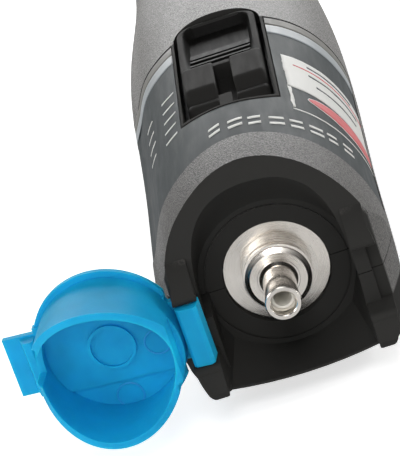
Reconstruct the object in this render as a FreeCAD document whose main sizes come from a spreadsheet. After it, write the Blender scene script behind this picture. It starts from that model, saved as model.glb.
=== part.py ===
"""Visual fault locator: a hand-held red laser source for 2.5 mm fibre ferrules.

The frame has its origin on the port axis, at the face of the steel port flange.
-Y points out of the port, +Z points to the slide button, +X to the latch side.
All sizes are millimetres and live in the sheet named Dims.
"""
import FreeCAD, Part

import math
import os

import Sketcher
from FreeCAD import Rotation, Vector

DIMENSIONS = (
    # body envelope
    ("nose_front", -17.0), ("label_front", 3.7), ("shoulder", 24.0), ("grip", 60.0),
    ("taper", 88.0), ("waist", 112.5), ("tail_end", 129.5), ("tail_round", 4.0),
    ("nose_half_width", 15.1), ("collar_half_width", 16.6), ("shoulder_half_width", 16.6),
    ("grip_half_width", 17.1), ("taper_half_width", 16.1), ("waist_half_width", 14.5),
    ("nose_crown", 17.2), ("collar_crown", 19.4), ("shoulder_crown", 18.9),
    ("grip_crown", 16.7), ("taper_crown", 15.7), ("waist_crown", 14.2),
    ("keel", 16.2), ("underside", 15.0), ("collar_power", 1.9), ("grip_power", 2.05),
    ("keel_power", 3.0), ("wall", 2.0), ("part_gap", 0.12),
    # nose: hood, ring, chin and ears
    ("ring_face", 0.8), ("ring_line_radius", 10.2), ("ring_line_width", 0.25),
    ("cavity_radius", 11.0), ("hood_slope_start", 11.3), ("hood_slope", 0.4),
    ("hood_depth", 7.0), ("chin_front", 11.0), ("chin_drop", 10.7), ("chin_corner_rise", 0.85),
    ("chin_root", 1.0), ("chin_lip", 0.35), ("ear_inner", 10.9), ("ear_gap", 9.2),
    ("ear_tip_inner", 10.4), ("ear_outer", 14.25), ("flare_front", 9.0), ("flare_back", 3.0),
    ("flare_width", 17.3), ("cheek_inner", 9.9), ("swing_inner", 9.4), ("cheek_front", 8.2), ("pocket_back", 7.2),
    ("catch_front", 9.6), ("catch_step", 12.7), ("catch_step_depth", 0.8),
    ("upper_ear_front", 12.4), ("upper_ear_top", 9.2), ("upper_ear_top_back", 7.4),
    ("lower_ear_front", 13.8), ("lower_ear_bottom", 9.5), ("lower_ear_root", 16.0), ("ear_tip_round", 1.4),
    # hinge
    ("hinge_x", 12.3), ("hinge_y", 10.8), ("pin_radius", 0.75), ("pin_clearance", 0.05),
    ("pin_top", 6.0), ("pin_bottom", 8.6),
    # bulkhead and port
    ("flange_radius", 7.5), ("flange_thick", 2.0), ("flange_clearance", 0.08),
    ("bulkhead_back", 4.2), ("housing_radius", 6.0), ("fit_gap", 0.05),
    ("boss_radius", 4.9), ("boss_base", 0.8), ("boss_length", 3.4), ("groove_depth", 0.45),
    ("groove_start", 1.4), ("groove_end", 1.9), ("land_end", 2.9), ("boss_face_radius", 4.0),
    ("nozzle_radius", 2.35), ("nozzle_tip_radius", 2.5), ("nozzle_length", 11.2),
    ("nozzle_rim", 1.0), ("mouth_radius", 1.8), ("mouth_depth", 0.35),
    ("sleeve_radius", 1.6), ("ferrule_radius", 1.25), ("sleeve_front", 9.3),
    ("sleeve_back", 1.0), ("nozzle_root_radius", 3.0), ("light_hole_radius", 0.8),
    ("spigot_radius", 4.5), ("spigot_back", 7.0),
    # laser module
    ("housing_back", 27.0), ("aperture_front", 8.0), ("aperture_back", 11.0),
    ("aperture_radius", 2.2), ("lens_radius", 3.2), ("lens_edge", 1.4), ("lens_bulge", 0.9),
    ("retainer_back", 15.0), ("retainer_bore", 2.3), ("diode_seat", 20.0),
    ("can_radius", 2.2), ("can_length", 2.6), ("can_flange_radius", 2.8),
    ("can_flange_thick", 1.2), ("lead_radius", 0.23), ("lead_pitch", 1.27),
    ("mount_back", 25.0), ("mount_radius", 4.6), ("nut_radius", 8.4), ("nut_thick", 2.0),
    ("diode_board_width", 10.0), ("diode_board_thick", 1.0), ("diode_board_bottom", 5.0),
    # main board and its parts
    ("board_bottom", 5.0), ("board_thick", 1.6), ("board_front", 28.0), ("board_back", 106.0),
    ("board_half_width", 10.5), ("post_radius", 1.4), ("switch_front", 37.0),
    ("switch_length", 10.0), ("switch_width", 5.6), ("switch_height", 4.0),
    ("lever_width", 1.8), ("lever_length", 2.2), ("lever_play", 0.3), ("lever_sink", 1.6),
    ("chip_size", 5.0), ("chip_height", 1.2), ("chip_y", 70.0), ("trimmer_size", 4.0),
    ("trimmer_height", 2.2), ("trimmer_y", 32.0), ("capacitor_radius", 2.5),
    ("capacitor_height", 5.5), ("capacitor_y", 84.0),
    # slide button
    ("opening_half_width", 6.9), ("opening_front", 19.3), ("opening_bow", 2.9),
    ("opening_arch", 55.0), ("opening_back", 60.4), ("button_gap", 0.7), ("button_front", 23.4),
    ("slide_travel", 4.0), ("carrier_top", 12.4), ("carrier_thick", 1.0),
    ("carrier_half_width", 7.4), ("carrier_front", 15.2), ("carrier_back", 66.0),
    ("pad_rear", 38.5), ("pad_top", 17.5), ("pad_bulge", 16.35), ("pad_foot", 15.2),
    ("notch_half_width", 1.3), ("notch_floor", 14.8), ("tongue_half_width", 0.95),
    ("tongue_back", 20.6), ("dish_radius", 12.3), ("dish_rim", 0.6), ("dish_depth", 1.8),
    ("button_rim", 16.6), ("button_tail_rim", 15.9),
    ("rib_width", 1.0), ("rib_rise", 0.35), ("rib_half_length", 4.7), ("rib_start", 4.2),
    ("rib_pitch", 1.7),
    # label
    ("label_rear", 55.8), ("label_thick", 0.4), ("label_sink", 0.12), ("label_foot", 1.2),
    ("label_seam", 0.3), ("label_window_rim", 0.4),
    # battery bay
    ("bay_front", 55.5), ("bay_back", 105.5), ("bay_half_width", 10.8), ("bay_roof", 1.5),
    ("bay_wall", 1.4), ("cell_radius", 5.2), ("cell_length", 44.5), ("cell_nub_radius", 1.9),
    ("cell_nub_length", 1.0), ("cell_spread", 5.35), ("cell_axis_drop", 7.0),
    ("contact_thick", 0.4), ("contact_half_width", 4.2), ("spring_wire", 0.35),
    ("spring_radius", 2.6), ("door_gap", 0.15), ("door_thick", 1.7), ("door_screw_y", 109.0),
    # fasteners
    ("screw_radius", 1.1), ("screw_head_radius", 2.0), ("screw_head_height", 1.4),
    ("boss_outer", 2.9), ("front_screw_x", 11.6), ("front_screw_y", 16.0),
    ("rear_screw_x", 8.2), ("rear_screw_y", 120.0), ("screw_top", 6.5), ("screw_seat", 10.0),
    # dust cap
    ("cap_radius", 10.95), ("cap_outer_face", 13.0), ("cap_floor", 0.7), ("strap_rise", 0.5),
    ("strap_half_height", 5.4), ("seal_radius", 3.4), ("seal_step_radius", 2.95),
    ("seal_rise", 0.35), ("skirt_radius", 10.4), ("skirt_wall", 1.0), ("skirt_reach", 11.2),
    ("skirt_side_reach", 4.6), ("cap_edge_round", 0.6), ("knuckle_half_width", 1.5),
    ("knuckle_half_height", 4.45), ("knuckle_reach", 2.3), ("hinge_relief", 3.1), ("ear_relief", 3.6),
    ("ear_relief_height", 6.8), ("knuckle_chamfer", 1.6),
    ("tab_end", 14.6), ("tab_half_height", 4.5), ("ridge_start", 9.9), ("ridge_end", 12.3),
    ("ridge_rise", 1.6), ("window_half_height", 2.9), ("cap_open_angle", 189.5),
)


class Size:
    """A number kept together with the sheet expression that yields it."""

    def __init__(self, value, text):
        self.value = float(value)
        self.text = text

    def _joined(self, other, sign, value):
        text = other.text if isinstance(other, Size) else repr(float(other))
        return Size(value, "(%s %s %s)" % (self.text, sign, text))

    def __add__(self, other):
        return self._joined(other, "+", self.value + number(other))

    def __sub__(self, other):
        return self._joined(other, "-", self.value - number(other))

    def __mul__(self, other):
        return self._joined(other, "*", self.value * number(other))

    def __neg__(self):
        return Size(-self.value, "(-1 * %s)" % self.text)


def number(size):
    return size.value if isinstance(size, Size) else float(size)


class Sheet:
    """The driving dimensions: text is bound to features, numbers feed the free-form work."""

    def __init__(self, doc):
        self.cells = doc.addObject("Spreadsheet::Sheet", "Dims")
        for row, (alias, value) in enumerate(DIMENSIONS, start=1):
            self.cells.set("A%d" % row, alias)
            self.cells.set("B%d" % row, str(value))
            self.cells.setAlias("B%d" % row, alias)
        doc.recompute()

    def __getattr__(self, alias):
        return float(getattr(self.cells, alias))

    def size(self, alias):
        return Size(getattr(self, alias), "Dims." + alias)


# ---------------------------------------------------------------- sketch-driven bodies

def new_body(doc, name):
    body = doc.addObject("PartDesign::Body", name)
    body.Label = name
    return body


def plane_of(body, role):
    return next(f for f in body.Origin.OriginFeatures if f.Role == role)


def new_sketch(body, name, role="XY_Plane", offset=None):
    """A sketch on one of the body's own planes, lifted along its normal by offset."""
    sketch = body.newObject("Sketcher::SketchObject", name)
    sketch.AttachmentSupport = [(plane_of(body, role), "")]
    sketch.MapMode = "FlatFace"
    if offset is not None:
        sketch.AttachmentOffset = FreeCAD.Placement(Vector(0, 0, offset.value), Rotation())
        sketch.setExpression("AttachmentOffset.Base.z", offset.text)
    return sketch


def pin_point(sketch, edge, x, y):
    """Hold the start point of a sketch edge at (x, y)."""
    for axis, size, line in (("DistanceX", x, -2), ("DistanceY", y, -1)):
        if isinstance(size, Size):
            index = sketch.addConstraint(Sketcher.Constraint(axis, -1, 1, edge, 1, size.value))
            sketch.setExpression("Constraints[%d]" % index, size.text)
        else:
            sketch.addConstraint(Sketcher.Constraint("PointOnObject", edge, 1, line))


def add_outline(sketch, corners):
    """A closed polygon; each corner is (Size or 0, Size or 0)."""
    first = sketch.GeometryCount
    points = [Vector(number(x), number(y), 0) for x, y in corners]
    for start, end in zip(points, points[1:] + points[:1]):
        sketch.addGeometry(Part.LineSegment(start, end))
    count = len(points)
    for k in range(count):
        follower = first + (k + 1) % count
        sketch.addConstraint(Sketcher.Constraint("Coincident", first + k, 2, follower, 1))
    for k, (x, y) in enumerate(corners):
        pin_point(sketch, first + k, x, y)


def add_circle(sketch, x, y, radius):
    """A circle whose centre and radius are bound to sizes."""
    centre = Vector(number(x), number(y), 0)
    edge = sketch.addGeometry(Part.Circle(centre, Vector(0, 0, 1), radius.value))
    for axis, size, line in (("DistanceX", x, -2), ("DistanceY", y, -1)):
        if isinstance(size, Size):
            index = sketch.addConstraint(Sketcher.Constraint(axis, -1, 1, edge, 3, size.value))
            sketch.setExpression("Constraints[%d]" % index, size.text)
        else:
            sketch.addConstraint(Sketcher.Constraint("PointOnObject", edge, 3, line))
    index = sketch.addConstraint(Sketcher.Constraint("Radius", edge, radius.value))
    sketch.setExpression("Constraints[%d]" % index, radius.text)


def revolve(body, corners, name="Turned"):
    """Turn an outline of (radius, station) corners about the body's Y axis."""
    sketch = new_sketch(body, name + "Profile")
    add_outline(sketch, corners)
    turned = body.newObject("PartDesign::Revolution", name)
    turned.Profile = sketch
    turned.ReferenceAxis = (sketch, ["V_Axis"])
    turned.Angle = 360
    return turned


def pad(body, sketch, length, name="Pad", reverse=False):
    block = body.newObject("PartDesign::Pad", name)
    block.Profile = sketch
    block.Length = length.value
    block.setExpression("Length", length.text)
    block.Reversed = reverse
    return block


def pocket(body, sketch, length, name="Pocket", reverse=False):
    hole = body.newObject("PartDesign::Pocket", name)
    hole.Profile = sketch
    hole.Length = length.value
    hole.setExpression("Length", length.text)
    hole.Reversed = reverse
    return hole


def slab(doc, name, corners, bottom, thick):
    """A flat piece: an outline in plan, its underside at bottom, thick tall."""
    body = new_body(doc, name)
    sketch = new_sketch(body, "Plan", "XY_Plane", bottom)
    add_outline(sketch, corners)
    pad(body, sketch, thick)
    return body


def rectangle(left, front, right, back):
    return [(left, front), (right, front), (right, back), (left, back)]


def place(body, x=0, y=0, z=0):
    """Stand a body off the origin by sizes bound to the sheet."""
    body.Placement = FreeCAD.Placement(Vector(number(x), number(y), number(z)), Rotation())
    for axis, size in (("x", x), ("y", y), ("z", z)):
        if isinstance(size, Size):
            body.setExpression("Placement.Base." + axis, size.text)
    return body


def shaped(doc, name, shape):
    """A free-form piece: one object that holds a finished shape."""
    piece = doc.addObject("Part::Feature", name)
    piece.Label = name
    piece.Shape = shape
    return piece


# ---------------------------------------------------------------- free-form helpers

def block(x0, x1, y0, y1, z0, z1):
    return Part.makeBox(x1 - x0, y1 - y0, z1 - z0, Vector(x0, y0, z0))


def rod(radius, y0, y1, x=0.0, z=0.0):
    """A cylinder along Y."""
    return Part.makeCylinder(radius, y1 - y0, Vector(x, y0, z), Vector(0, 1, 0))


def post(radius, z0, z1, x, y):
    """A cylinder along Z."""
    return Part.makeCylinder(radius, z1 - z0, Vector(x, y, z0))


def prism_x(outline, x0, x1):
    """A side-view outline of (y, z) points carried across from x0 to x1."""
    points = [Vector(x0, y, z) for y, z in outline]
    face = Part.Face(Part.makePolygon(points + points[:1]))
    return face.extrude(Vector(x1 - x0, 0, 0))


def prism_z(outline, z0, z1):
    """A plan outline of (x, y) points carried up from z0 to z1."""
    points = [Vector(x, y, z0) for x, y in outline]
    face = Part.Face(Part.makePolygon(points + points[:1]))
    return face.extrude(Vector(0, 0, z1 - z0))


def mirrored(shape):
    """The same shape on the other side of the middle plane."""
    return shape.mirror(Vector(0, 0, 0), Vector(1, 0, 0))


def pair(shape):
    return shape.fuse(mirrored(shape))


def arch(half_width, front, spring_line, back, z0, z1, bow=0.0):
    """A plan with straight sides, a rounded back and a front edge that can bow forward."""
    left = Vector(-half_width, front, z0)
    right = Vector(half_width, front, z0)
    edge = Part.makeLine(left, right)
    if bow > 0.0:
        edge = Part.Arc(left, Vector(0, front - bow, z0), right).toShape()
    wire = Part.Wire([
        Part.makeLine(Vector(-half_width, spring_line, z0), left),
        edge,
        Part.makeLine(right, Vector(half_width, spring_line, z0)),
        rounded_end(half_width, spring_line, back, z0),
    ])
    return Part.Face(wire).extrude(Vector(0, 0, z1 - z0))


def rounded_end(half_width, spring_line, back, z0, power=2.9):
    """A half superellipse from (half_width, spring_line) round to the other side."""
    curve = Part.BSplineCurve()
    steps = 14
    reach = back - spring_line
    points = []
    for k in range(steps + 1):
        turn = math.pi * k / steps
        across = math.copysign(abs(math.cos(turn)) ** (2.0 / power), math.cos(turn))
        points.append(Vector(half_width * across,
                             spring_line + reach * max(math.sin(turn), 0.0) ** (2.0 / power), z0))
    curve.interpolate(Points=points, InitialTangent=Vector(0, 1, 0), FinalTangent=Vector(0, -1, 0))
    return curve.toShape()


# ---------------------------------------------------------------- body envelope

def half_section(y, half_width, rise, power, steps=10):
    """Half of a superellipse over the parting plane, from +x round to -x.

    x = a * |cos t|^(2/n), z = b * sin(t)^(2/n), with n = power; rise is negative below the plane.
    """
    points = []
    for k in range(steps + 1):
        t = math.pi * k / steps
        x = math.copysign(abs(math.cos(t)) ** (2.0 / power), math.cos(t)) * half_width
        points.append(Vector(x if 0 < k < steps else math.copysign(half_width, x),
                             y, rise * max(math.sin(t), 0.0) ** (2.0 / power) if 0 < k < steps else 0.0))
    curve = Part.BSplineCurve()
    up = Vector(0, 0, math.copysign(1.0, rise))
    curve.interpolate(Points=points, InitialTangent=up, FinalTangent=-up)
    return curve.toShape()


def body_section(s, y, half_width, crown, power, inset):
    """The closed section at a station, drawn in by inset all round."""
    upper = half_section(y, half_width - inset, crown - inset, power)
    lower = half_section(y, half_width - inset, -(s.keel - inset), s.keel_power)
    return Part.Wire([upper, lower.reversed()])


def envelope(s, inset):
    """The handle's outer form: a swelling front length and a straight tail behind the waist."""
    stations = (
        (s.nose_front, s.nose_half_width, s.nose_crown, s.collar_power),
        (s.label_front, s.collar_half_width, s.collar_crown, s.collar_power),
        (s.shoulder, s.shoulder_half_width, s.shoulder_crown, s.collar_power),
        (s.grip, s.grip_half_width, s.grip_crown, s.grip_power),
        (s.taper, s.taper_half_width, s.taper_crown, s.grip_power),
        (s.waist, s.waist_half_width, s.waist_crown, s.grip_power),
    )
    front = Part.makeLoft([body_section(s, *station, inset) for station in stations], True, False)
    tail_section = (s.waist_half_width, s.waist_crown, s.grip_power)
    end = body_section(s, s.waist, *tail_section, inset)
    if inset > 0:
        return front.fuse(Part.Face(end).extrude(Vector(0, s.tail_end - s.waist, 0)))
    straight = s.tail_end - s.tail_round
    tail = Part.Face(end).extrude(Vector(0, straight - s.waist, 0))
    rounds = []
    for quarter in (0.0, 0.25, 0.5, 0.75, 0.95):
        turn = quarter * math.pi / 2
        station = straight + s.tail_round * math.sin(turn)
        rounds.append(body_section(s, station, *tail_section, s.tail_round * (1 - math.cos(turn))))
    return front.multiFuse([tail, Part.makeLoft(rounds, True, False)])


# ---------------------------------------------------------------- nose

def hood_y(s, z):
    """The slanted front plane of the hood: the higher, the further back."""
    return -s.hood_slope_start + s.hood_slope * z


def recess_section(s, y):
    """The bell-mouth's outline at a station, from the ring forward.

    The floor is an arc between two corners that spread as it comes forward; the sides are
    upright and the roof is a superellipse that climbs steeply at first and then levels.
    """
    ahead = -s.ring_face - y
    run = s.chin_front - s.ring_face
    part = ahead / run
    spread = min(part, 1.0)
    side_x = s.cavity_radius - 0.35 * spread
    corner_x = s.cavity_radius * 0.78 + spread * (s.ear_tip_inner - s.cavity_radius * 0.78)
    corner_z = s.cavity_radius * 0.70
    corner_z += part * (s.chin_drop - s.chin_corner_rise - s.cavity_radius * 0.70)
    floor_z = s.cavity_radius + part * (s.chin_drop - s.cavity_radius)
    roof_z = s.cavity_radius + s.hood_depth * (1.0 - math.exp(-1.9 * part)) + 3.2 * part
    power = 2.0 + 0.8 * min(part, 1.0)
    points = [Vector(corner_x, y, -corner_z)]
    points.append(Vector(0.35 * corner_x + 0.65 * side_x, y, -0.52 * corner_z))
    steps = 10
    for k in range(steps + 1):
        t = math.pi * k / steps
        x = math.copysign(abs(math.cos(t)) ** (2.0 / power), math.cos(t)) * side_x
        points.append(Vector(x, y, roof_z * max(math.sin(t), 0.0) ** (2.0 / power)))
    points.append(Vector(-points[1].x, y, points[1].z))
    points.append(Vector(-corner_x, y, -corner_z))
    over = Part.BSplineCurve()
    over.interpolate(Points=points)
    under = Part.Arc(points[-1], Vector(0, y, -floor_z), points[0])
    return Part.Wire([over.toShape(), under.toShape()])


def recess(s):
    """The open bell in the nose that the port stands in."""
    run = s.chin_front - s.ring_face
    stations = [-s.ring_face - run * part for part in (0.0, 0.3, 0.7, 1.0, 1.6)]
    return Part.makeLoft([recess_section(s, y) for y in stations], True, False)


def ear_side(s, upper):
    """The side view of one clevis ear, as a prism from the middle plane outwards."""
    half_gap = s.ear_gap / 2
    root = -s.chin_root - 1.0

    def at(y, z):
        return Vector(s.ear_tip_inner, y, z)

    if upper:
        top = s.upper_ear_top
        crest = hood_y(s, top)
        tip = -s.upper_ear_front
        edges = [
            Part.makeLine(at(root, top), at(crest, top)),
            Part.Arc(at(crest, top), at(0.35 * crest + 0.65 * tip, 0.4 * half_gap + 0.6 * top),
                     at(tip, half_gap + 1.0)).toShape(),
            Part.Arc(at(tip, half_gap + 1.0), at(tip + 0.25, half_gap + 0.25),
                     at(tip + 1.0, half_gap)).toShape(),
            Part.makeLine(at(tip + 1.0, half_gap), at(root, half_gap)),
            Part.makeLine(at(root, half_gap), at(root, top)),
        ]
    else:
        front = -s.lower_ear_front
        bottom = -s.lower_ear_bottom
        reach = front - 1.3
        r = s.ear_tip_round
        edges = [
            Part.makeLine(at(root, -half_gap), at(front + 0.9, -half_gap)),
            Part.Arc(at(front + 0.9, -half_gap), at(front + 0.2, -half_gap - 0.3),
                     at(front, -half_gap - 1.0)).toShape(),
            Part.Arc(at(front, -half_gap - 1.0), at(front - 0.8, bottom + 2.2),
                     at(reach, bottom + r)).toShape(),
            Part.Arc(at(reach, bottom + r), at(reach + 0.35 * r, bottom + 0.3 * r),
                     at(reach + 1.2 * r, bottom)).toShape(),
            Part.makeLine(at(reach + 1.2 * r, bottom), at(root, -s.underside - 1.0)),
            Part.makeLine(at(root, -s.underside - 1.0), at(root, -half_gap)),
        ]
    return Part.Face(Part.Wire(edges)).extrude(Vector(40.0, 0, 0))


def ear_front(s, y, outer, tip, upper):
    """The front view of an ear at a station: straight inside, its outer corner rounded off."""
    sign = 1.0 if upper else -1.0
    inner = s.ear_inner if upper else s.ear_tip_inner
    top = sign * s.ear_gap / 2
    width = outer - inner
    shoulder = Vector(outer - 0.34 * width, y, 0.14 * top + 0.86 * tip)
    heel = Vector(inner, y, 0.24 * top + 0.76 * tip)
    belly = Vector(outer - 0.10 * width, y, 0.55 * top + 0.45 * tip)
    return Part.Wire([
        Part.makeLine(Vector(inner, y, top), Vector(outer, y, top)),
        Part.Arc(Vector(outer, y, top), belly, shoulder).toShape(),
        Part.Arc(shoulder, Vector(inner + 0.42 * width, y, tip), heel).toShape(),
        Part.makeLine(heel, Vector(inner, y, top)),
    ])


def ears(s, upper):
    """A pair of clevis ears: the side view and a front view that swells into the collar."""
    tip = s.upper_ear_top + 0.1 if upper else -s.lower_ear_bottom
    root = s.upper_ear_top + 3.0 if upper else -s.lower_ear_root
    free = ear_front(s, -s.flare_front - 2.0, s.ear_outer, tip, upper)
    swell = Part.makeLoft([free, ear_front(s, -s.chin_root, s.flare_width, root, upper)],
                          True, True)
    finger = Part.Face(free).extrude(Vector(0, -10.0, 0)).fuse(swell)
    return pair(ear_side(s, upper).common(finger))


def under_chin(s):
    """What is cut away below the chin: flat at its root, an arc at its front lip."""
    drop = s.chin_drop + s.chin_lip
    corner = drop - s.chin_corner_rise
    half = s.ear_tip_inner
    radius = (half ** 2 + s.chin_corner_rise ** 2) / (2 * s.chin_corner_rise)
    wide = 18.0
    edge_z = -drop + radius - math.sqrt(radius ** 2 - wide ** 2)
    sections = []
    for y, middle, side in ((-s.chin_root, -s.underside, -s.underside + 0.02),
                            (-s.chin_front, -drop, edge_z)):
        bow = Part.Arc(Vector(-wide, y, side), Vector(0, y, middle), Vector(wide, y, side))
        sections.append(Part.Wire([
            bow.toShape(),
            Part.makeLine(Vector(wide, y, side), Vector(wide, y, -40)),
            Part.makeLine(Vector(wide, y, -40), Vector(-wide, y, -40)),
            Part.makeLine(Vector(-wide, y, -40), Vector(-wide, y, side)),
        ]))
    return Part.makeLoft(sections, True, True)


def side_flare(s):
    """What is cut off beside the nose, so that the collar narrows to the ears."""
    far = 40.0
    front = Vector(s.ear_outer, -s.flare_front, -far)
    back = Vector(s.flare_width, s.flare_back, -far)
    middle = Vector(0.42 * front.x + 0.58 * back.x, 0.5 * (front.y + back.y), -far)
    wire = Part.Wire([
        Part.makeLine(Vector(front.x, -far, -far), front),
        Part.Arc(front, middle, back).toShape(),
        Part.makeLine(back, Vector(far, back.y, -far)),
        Part.makeLine(Vector(far, back.y, -far), Vector(far, -far, -far)),
        Part.makeLine(Vector(far, -far, -far), Vector(front.x, -far, -far)),
    ])
    return pair(Part.Face(wire).extrude(Vector(0, 0, 2 * far)))


def nose_front(s, outer):
    """Trim the blank to the hood plane, leave the ears and chin, and open the bell."""
    far = 40.0
    half_gap = s.ear_gap / 2
    ahead = prism_x([(hood_y(s, -far), -far), (hood_y(s, far), far), (-far, far), (-far, -far)],
                    -far, far)
    chin_end = block(-far, far, -far, -s.chin_front, -far, 0)
    beside = block(s.ear_inner, far, -far, -s.chin_root, -far, -half_gap)
    nose = outer.cut(ahead).cut(chin_end.multiFuse([under_chin(s), pair(beside)]))
    nose = nose.fuse(outer.common(ears(s, True).fuse(ears(s, False))))
    hinge_bay = block(-far, -s.ear_tip_inner, -far, -s.pocket_back, -half_gap, half_gap)
    swing_room = block(-far, -s.swing_inner, -far, -s.cheek_front, -half_gap, half_gap)
    latch_bay = block(s.swing_inner, far, -far, -s.catch_front, -half_gap, half_gap)
    latch_step = block(s.catch_step, far, -far, -s.catch_front + s.catch_step_depth,
                       -half_gap, half_gap)
    nose = nose.cut(side_flare(s).multiFuse([hinge_bay, swing_room, latch_bay, latch_step]))
    return nose.cut(recess(s))


def bulkhead_bores(s):
    """The seat for the steel flange, the hole behind it and the fine line in the ring."""
    seat = rod(s.flange_radius + s.flange_clearance, -s.ring_face - 0.1, s.flange_thick)
    through = rod(s.housing_radius + s.fit_gap, 0, s.bulkhead_back + 0.1)
    half_line = s.ring_line_width / 2
    line = rod(s.ring_line_radius + half_line, -s.ring_face - 0.1, -s.ring_face + 0.25)
    line = line.cut(rod(s.ring_line_radius - half_line, -s.ring_face - 0.2, -s.ring_face + 0.3))
    return seat.multiFuse([through, line])


def slide_window(s, margin=0.0):
    return arch(s.opening_half_width + margin, s.opening_front - margin, s.opening_arch,
                s.opening_back + margin, s.carrier_top + 0.2, 30.0, s.opening_bow)


def label_band(s, margin=0.0):
    """The length of the upper shell that the label wraps, as a block around it."""
    band = block(-40, 40, s.label_front - margin, s.label_rear + margin, s.label_foot - margin, 40)
    return band.cut(slide_window(s, s.label_window_rim - margin))


def screw_places(s):
    """The four case screws: two behind the collar, two in the tail."""
    return [(side * x, y) for x, y in ((s.front_screw_x, s.front_screw_y),
                                       (s.rear_screw_x, s.rear_screw_y)) for side in (-1, 1)]


def pin_bore(s, slack=0.0):
    return Part.makeCylinder(s.pin_radius + slack, s.pin_top + s.pin_bottom,
                             Vector(-s.hinge_x, -s.hinge_y, -s.pin_bottom))


def shell_blank(s):
    """Both shells as one hollow form, with the nose, bulkhead and port seat in it."""
    outer = envelope(s, 0.0)
    outer = outer.cut(block(-40, 40, -40, 200, -40, -s.underside))
    nose = nose_front(s, outer)
    hollow = envelope(s, s.wall).common(
        block(-40, 40, s.bulkhead_back, s.tail_end - s.wall, -s.underside + s.wall, 40))
    return outer, hollow, nose.cut(hollow).cut(bulkhead_bores(s)).cut(pin_bore(s))


# ---------------------------------------------------------------- shells and label

def upper_shell(doc, s, outer, hollow, blank, band):
    """The upper half: hood, label seat, slide opening, carrier rails and screw bosses."""
    gap = s.part_gap / 2
    half = blank.cut(block(-60, 60, -60, 200, -60, gap))
    inside = []
    for x, y in screw_places(s):
        inside.append(post(s.boss_outer, gap, 30.0, x, y))
    for y in (s.board_front + 4.0, s.board_back - 6.0):
        for x in (-s.board_half_width + s.post_radius, s.board_half_width - s.post_radius):
            inside.append(post(s.post_radius, s.board_bottom + s.board_thick, 30.0, x, y))
    rail = block(s.carrier_half_width + 0.15, s.carrier_half_width + 1.25,
                 s.carrier_front, s.carrier_back - 8.0, s.carrier_top - s.carrier_thick - 1.0, 30.0)
    lip = block(s.carrier_half_width - 0.7, s.carrier_half_width + 0.5, s.carrier_front,
                s.carrier_back - 8.0, s.carrier_top - s.carrier_thick - 1.0,
                s.carrier_top - s.carrier_thick - 0.15)
    inside += [rail, mirrored(rail), lip, mirrored(lip)]
    fittings = inside[0].multiFuse(inside[1:]).common(hollow.fuse(block(0, 1, 40, 41, 30, 31)))
    half = half.fuse(fittings)
    pilots = [post(s.screw_radius + s.fit_gap, -1.0, s.screw_top + 0.3, x, y)
              for x, y in screw_places(s)]
    tongue = block(-s.tongue_half_width, s.tongue_half_width, s.opening_front - s.opening_bow - 0.5,
                   s.tongue_back, s.pad_foot + 0.8, 30.0)
    window = slide_window(s).cut(tongue)
    half = half.cut(window.multiFuse(pilots))
    seat = band.cut(envelope(s, s.label_sink + s.label_thick))
    return shaped(doc, "upper_shell", half.cut(seat))


def face_label(doc, s):
    """The printed overlay: a thin curved sheet set just below the shell's surface."""
    sheet = envelope(s, s.label_sink).cut(envelope(s, s.label_sink + s.label_thick))
    return shaped(doc, "face_label", sheet.common(label_band(s, -s.label_seam / 2)))


def battery_bay(s):
    """The box the two cells lie in, open underneath."""
    return block(-s.bay_half_width, s.bay_half_width, s.bay_front, s.bay_back,
                 -s.underside - 5.0, -s.bay_roof)


def door_opening(s, slack=0.0):
    return block(-s.bay_half_width + slack, s.bay_half_width - slack, s.bay_front + slack,
                 s.door_screw_y + 4.0 - slack, -40.0, -s.underside + s.door_thick)


def lower_shell(doc, s, outer, hollow, blank):
    """The lower half: chin, screw towers, board posts and the battery bay."""
    gap = s.part_gap / 2
    half = blank.cut(block(-60, 60, -60, 200, -gap, 60))
    bay_box = block(-s.bay_half_width - s.bay_wall, s.bay_half_width + s.bay_wall,
                    s.bay_front - s.bay_wall, s.door_screw_y + 5.0, -40.0, -s.bay_roof + s.bay_wall)
    cheek = block(-s.ear_inner - 0.6, -s.cheek_inner, -s.cheek_front, -s.ring_face + 0.5,
                  -s.cavity_radius * 0.75, -gap)
    inside = [bay_box]
    for x, y in screw_places(s):
        inside.append(post(s.boss_outer, -40.0, -gap, x, y))
    board_posts = []
    for x in (-s.board_half_width + s.post_radius, s.board_half_width - s.post_radius):
        inside.append(post(s.post_radius, -40.0, -gap, x, s.board_front + 4.0))
        board_posts.append(post(s.post_radius, -gap - 0.01, s.board_bottom, x,
                                s.board_front + 4.0))
        board_posts.append(post(s.post_radius, -s.bay_roof + s.bay_wall - 0.01,
                                s.board_bottom, x, s.board_back - 6.0))
    fittings = inside[0].multiFuse(inside[1:]).common(outer)
    half = half.multiFuse([fittings, cheek] + board_posts)
    cuts = [battery_bay(s), door_opening(s)]
    for x, y in screw_places(s):
        cuts.append(post(s.screw_radius + s.fit_gap, -s.screw_seat - 1.0, 1.0, x, y))
        cuts.append(post(s.screw_head_radius + 0.15, -40.0, -s.screw_seat, x, y))
    cuts.append(post(s.screw_radius + s.fit_gap, -s.underside, -s.bay_roof - 3.0,
                     0.0, s.door_screw_y))
    return shaped(doc, "lower_shell", half.cut(cuts[0].multiFuse(cuts[1:])))


def battery_door(doc, s, outer):
    """The part of the lower wall that lifts off below the cells."""
    door = outer.common(door_opening(s, s.door_gap))
    grips = [block(-4.5, 4.5, y, y + 0.8, -40, -s.underside + 0.35) for y in (62.0, 64.0, 66.0)]
    hole = post(s.screw_radius + s.fit_gap, -20.0, 0.0, 0.0, s.door_screw_y)
    sink = post(s.screw_head_radius + 0.15, -20.0, -s.underside + 0.9, 0.0, s.door_screw_y)
    return shaped(doc, "battery_door", door.cut(hole.multiFuse([sink] + grips)))


# ---------------------------------------------------------------- port and laser module

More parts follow.
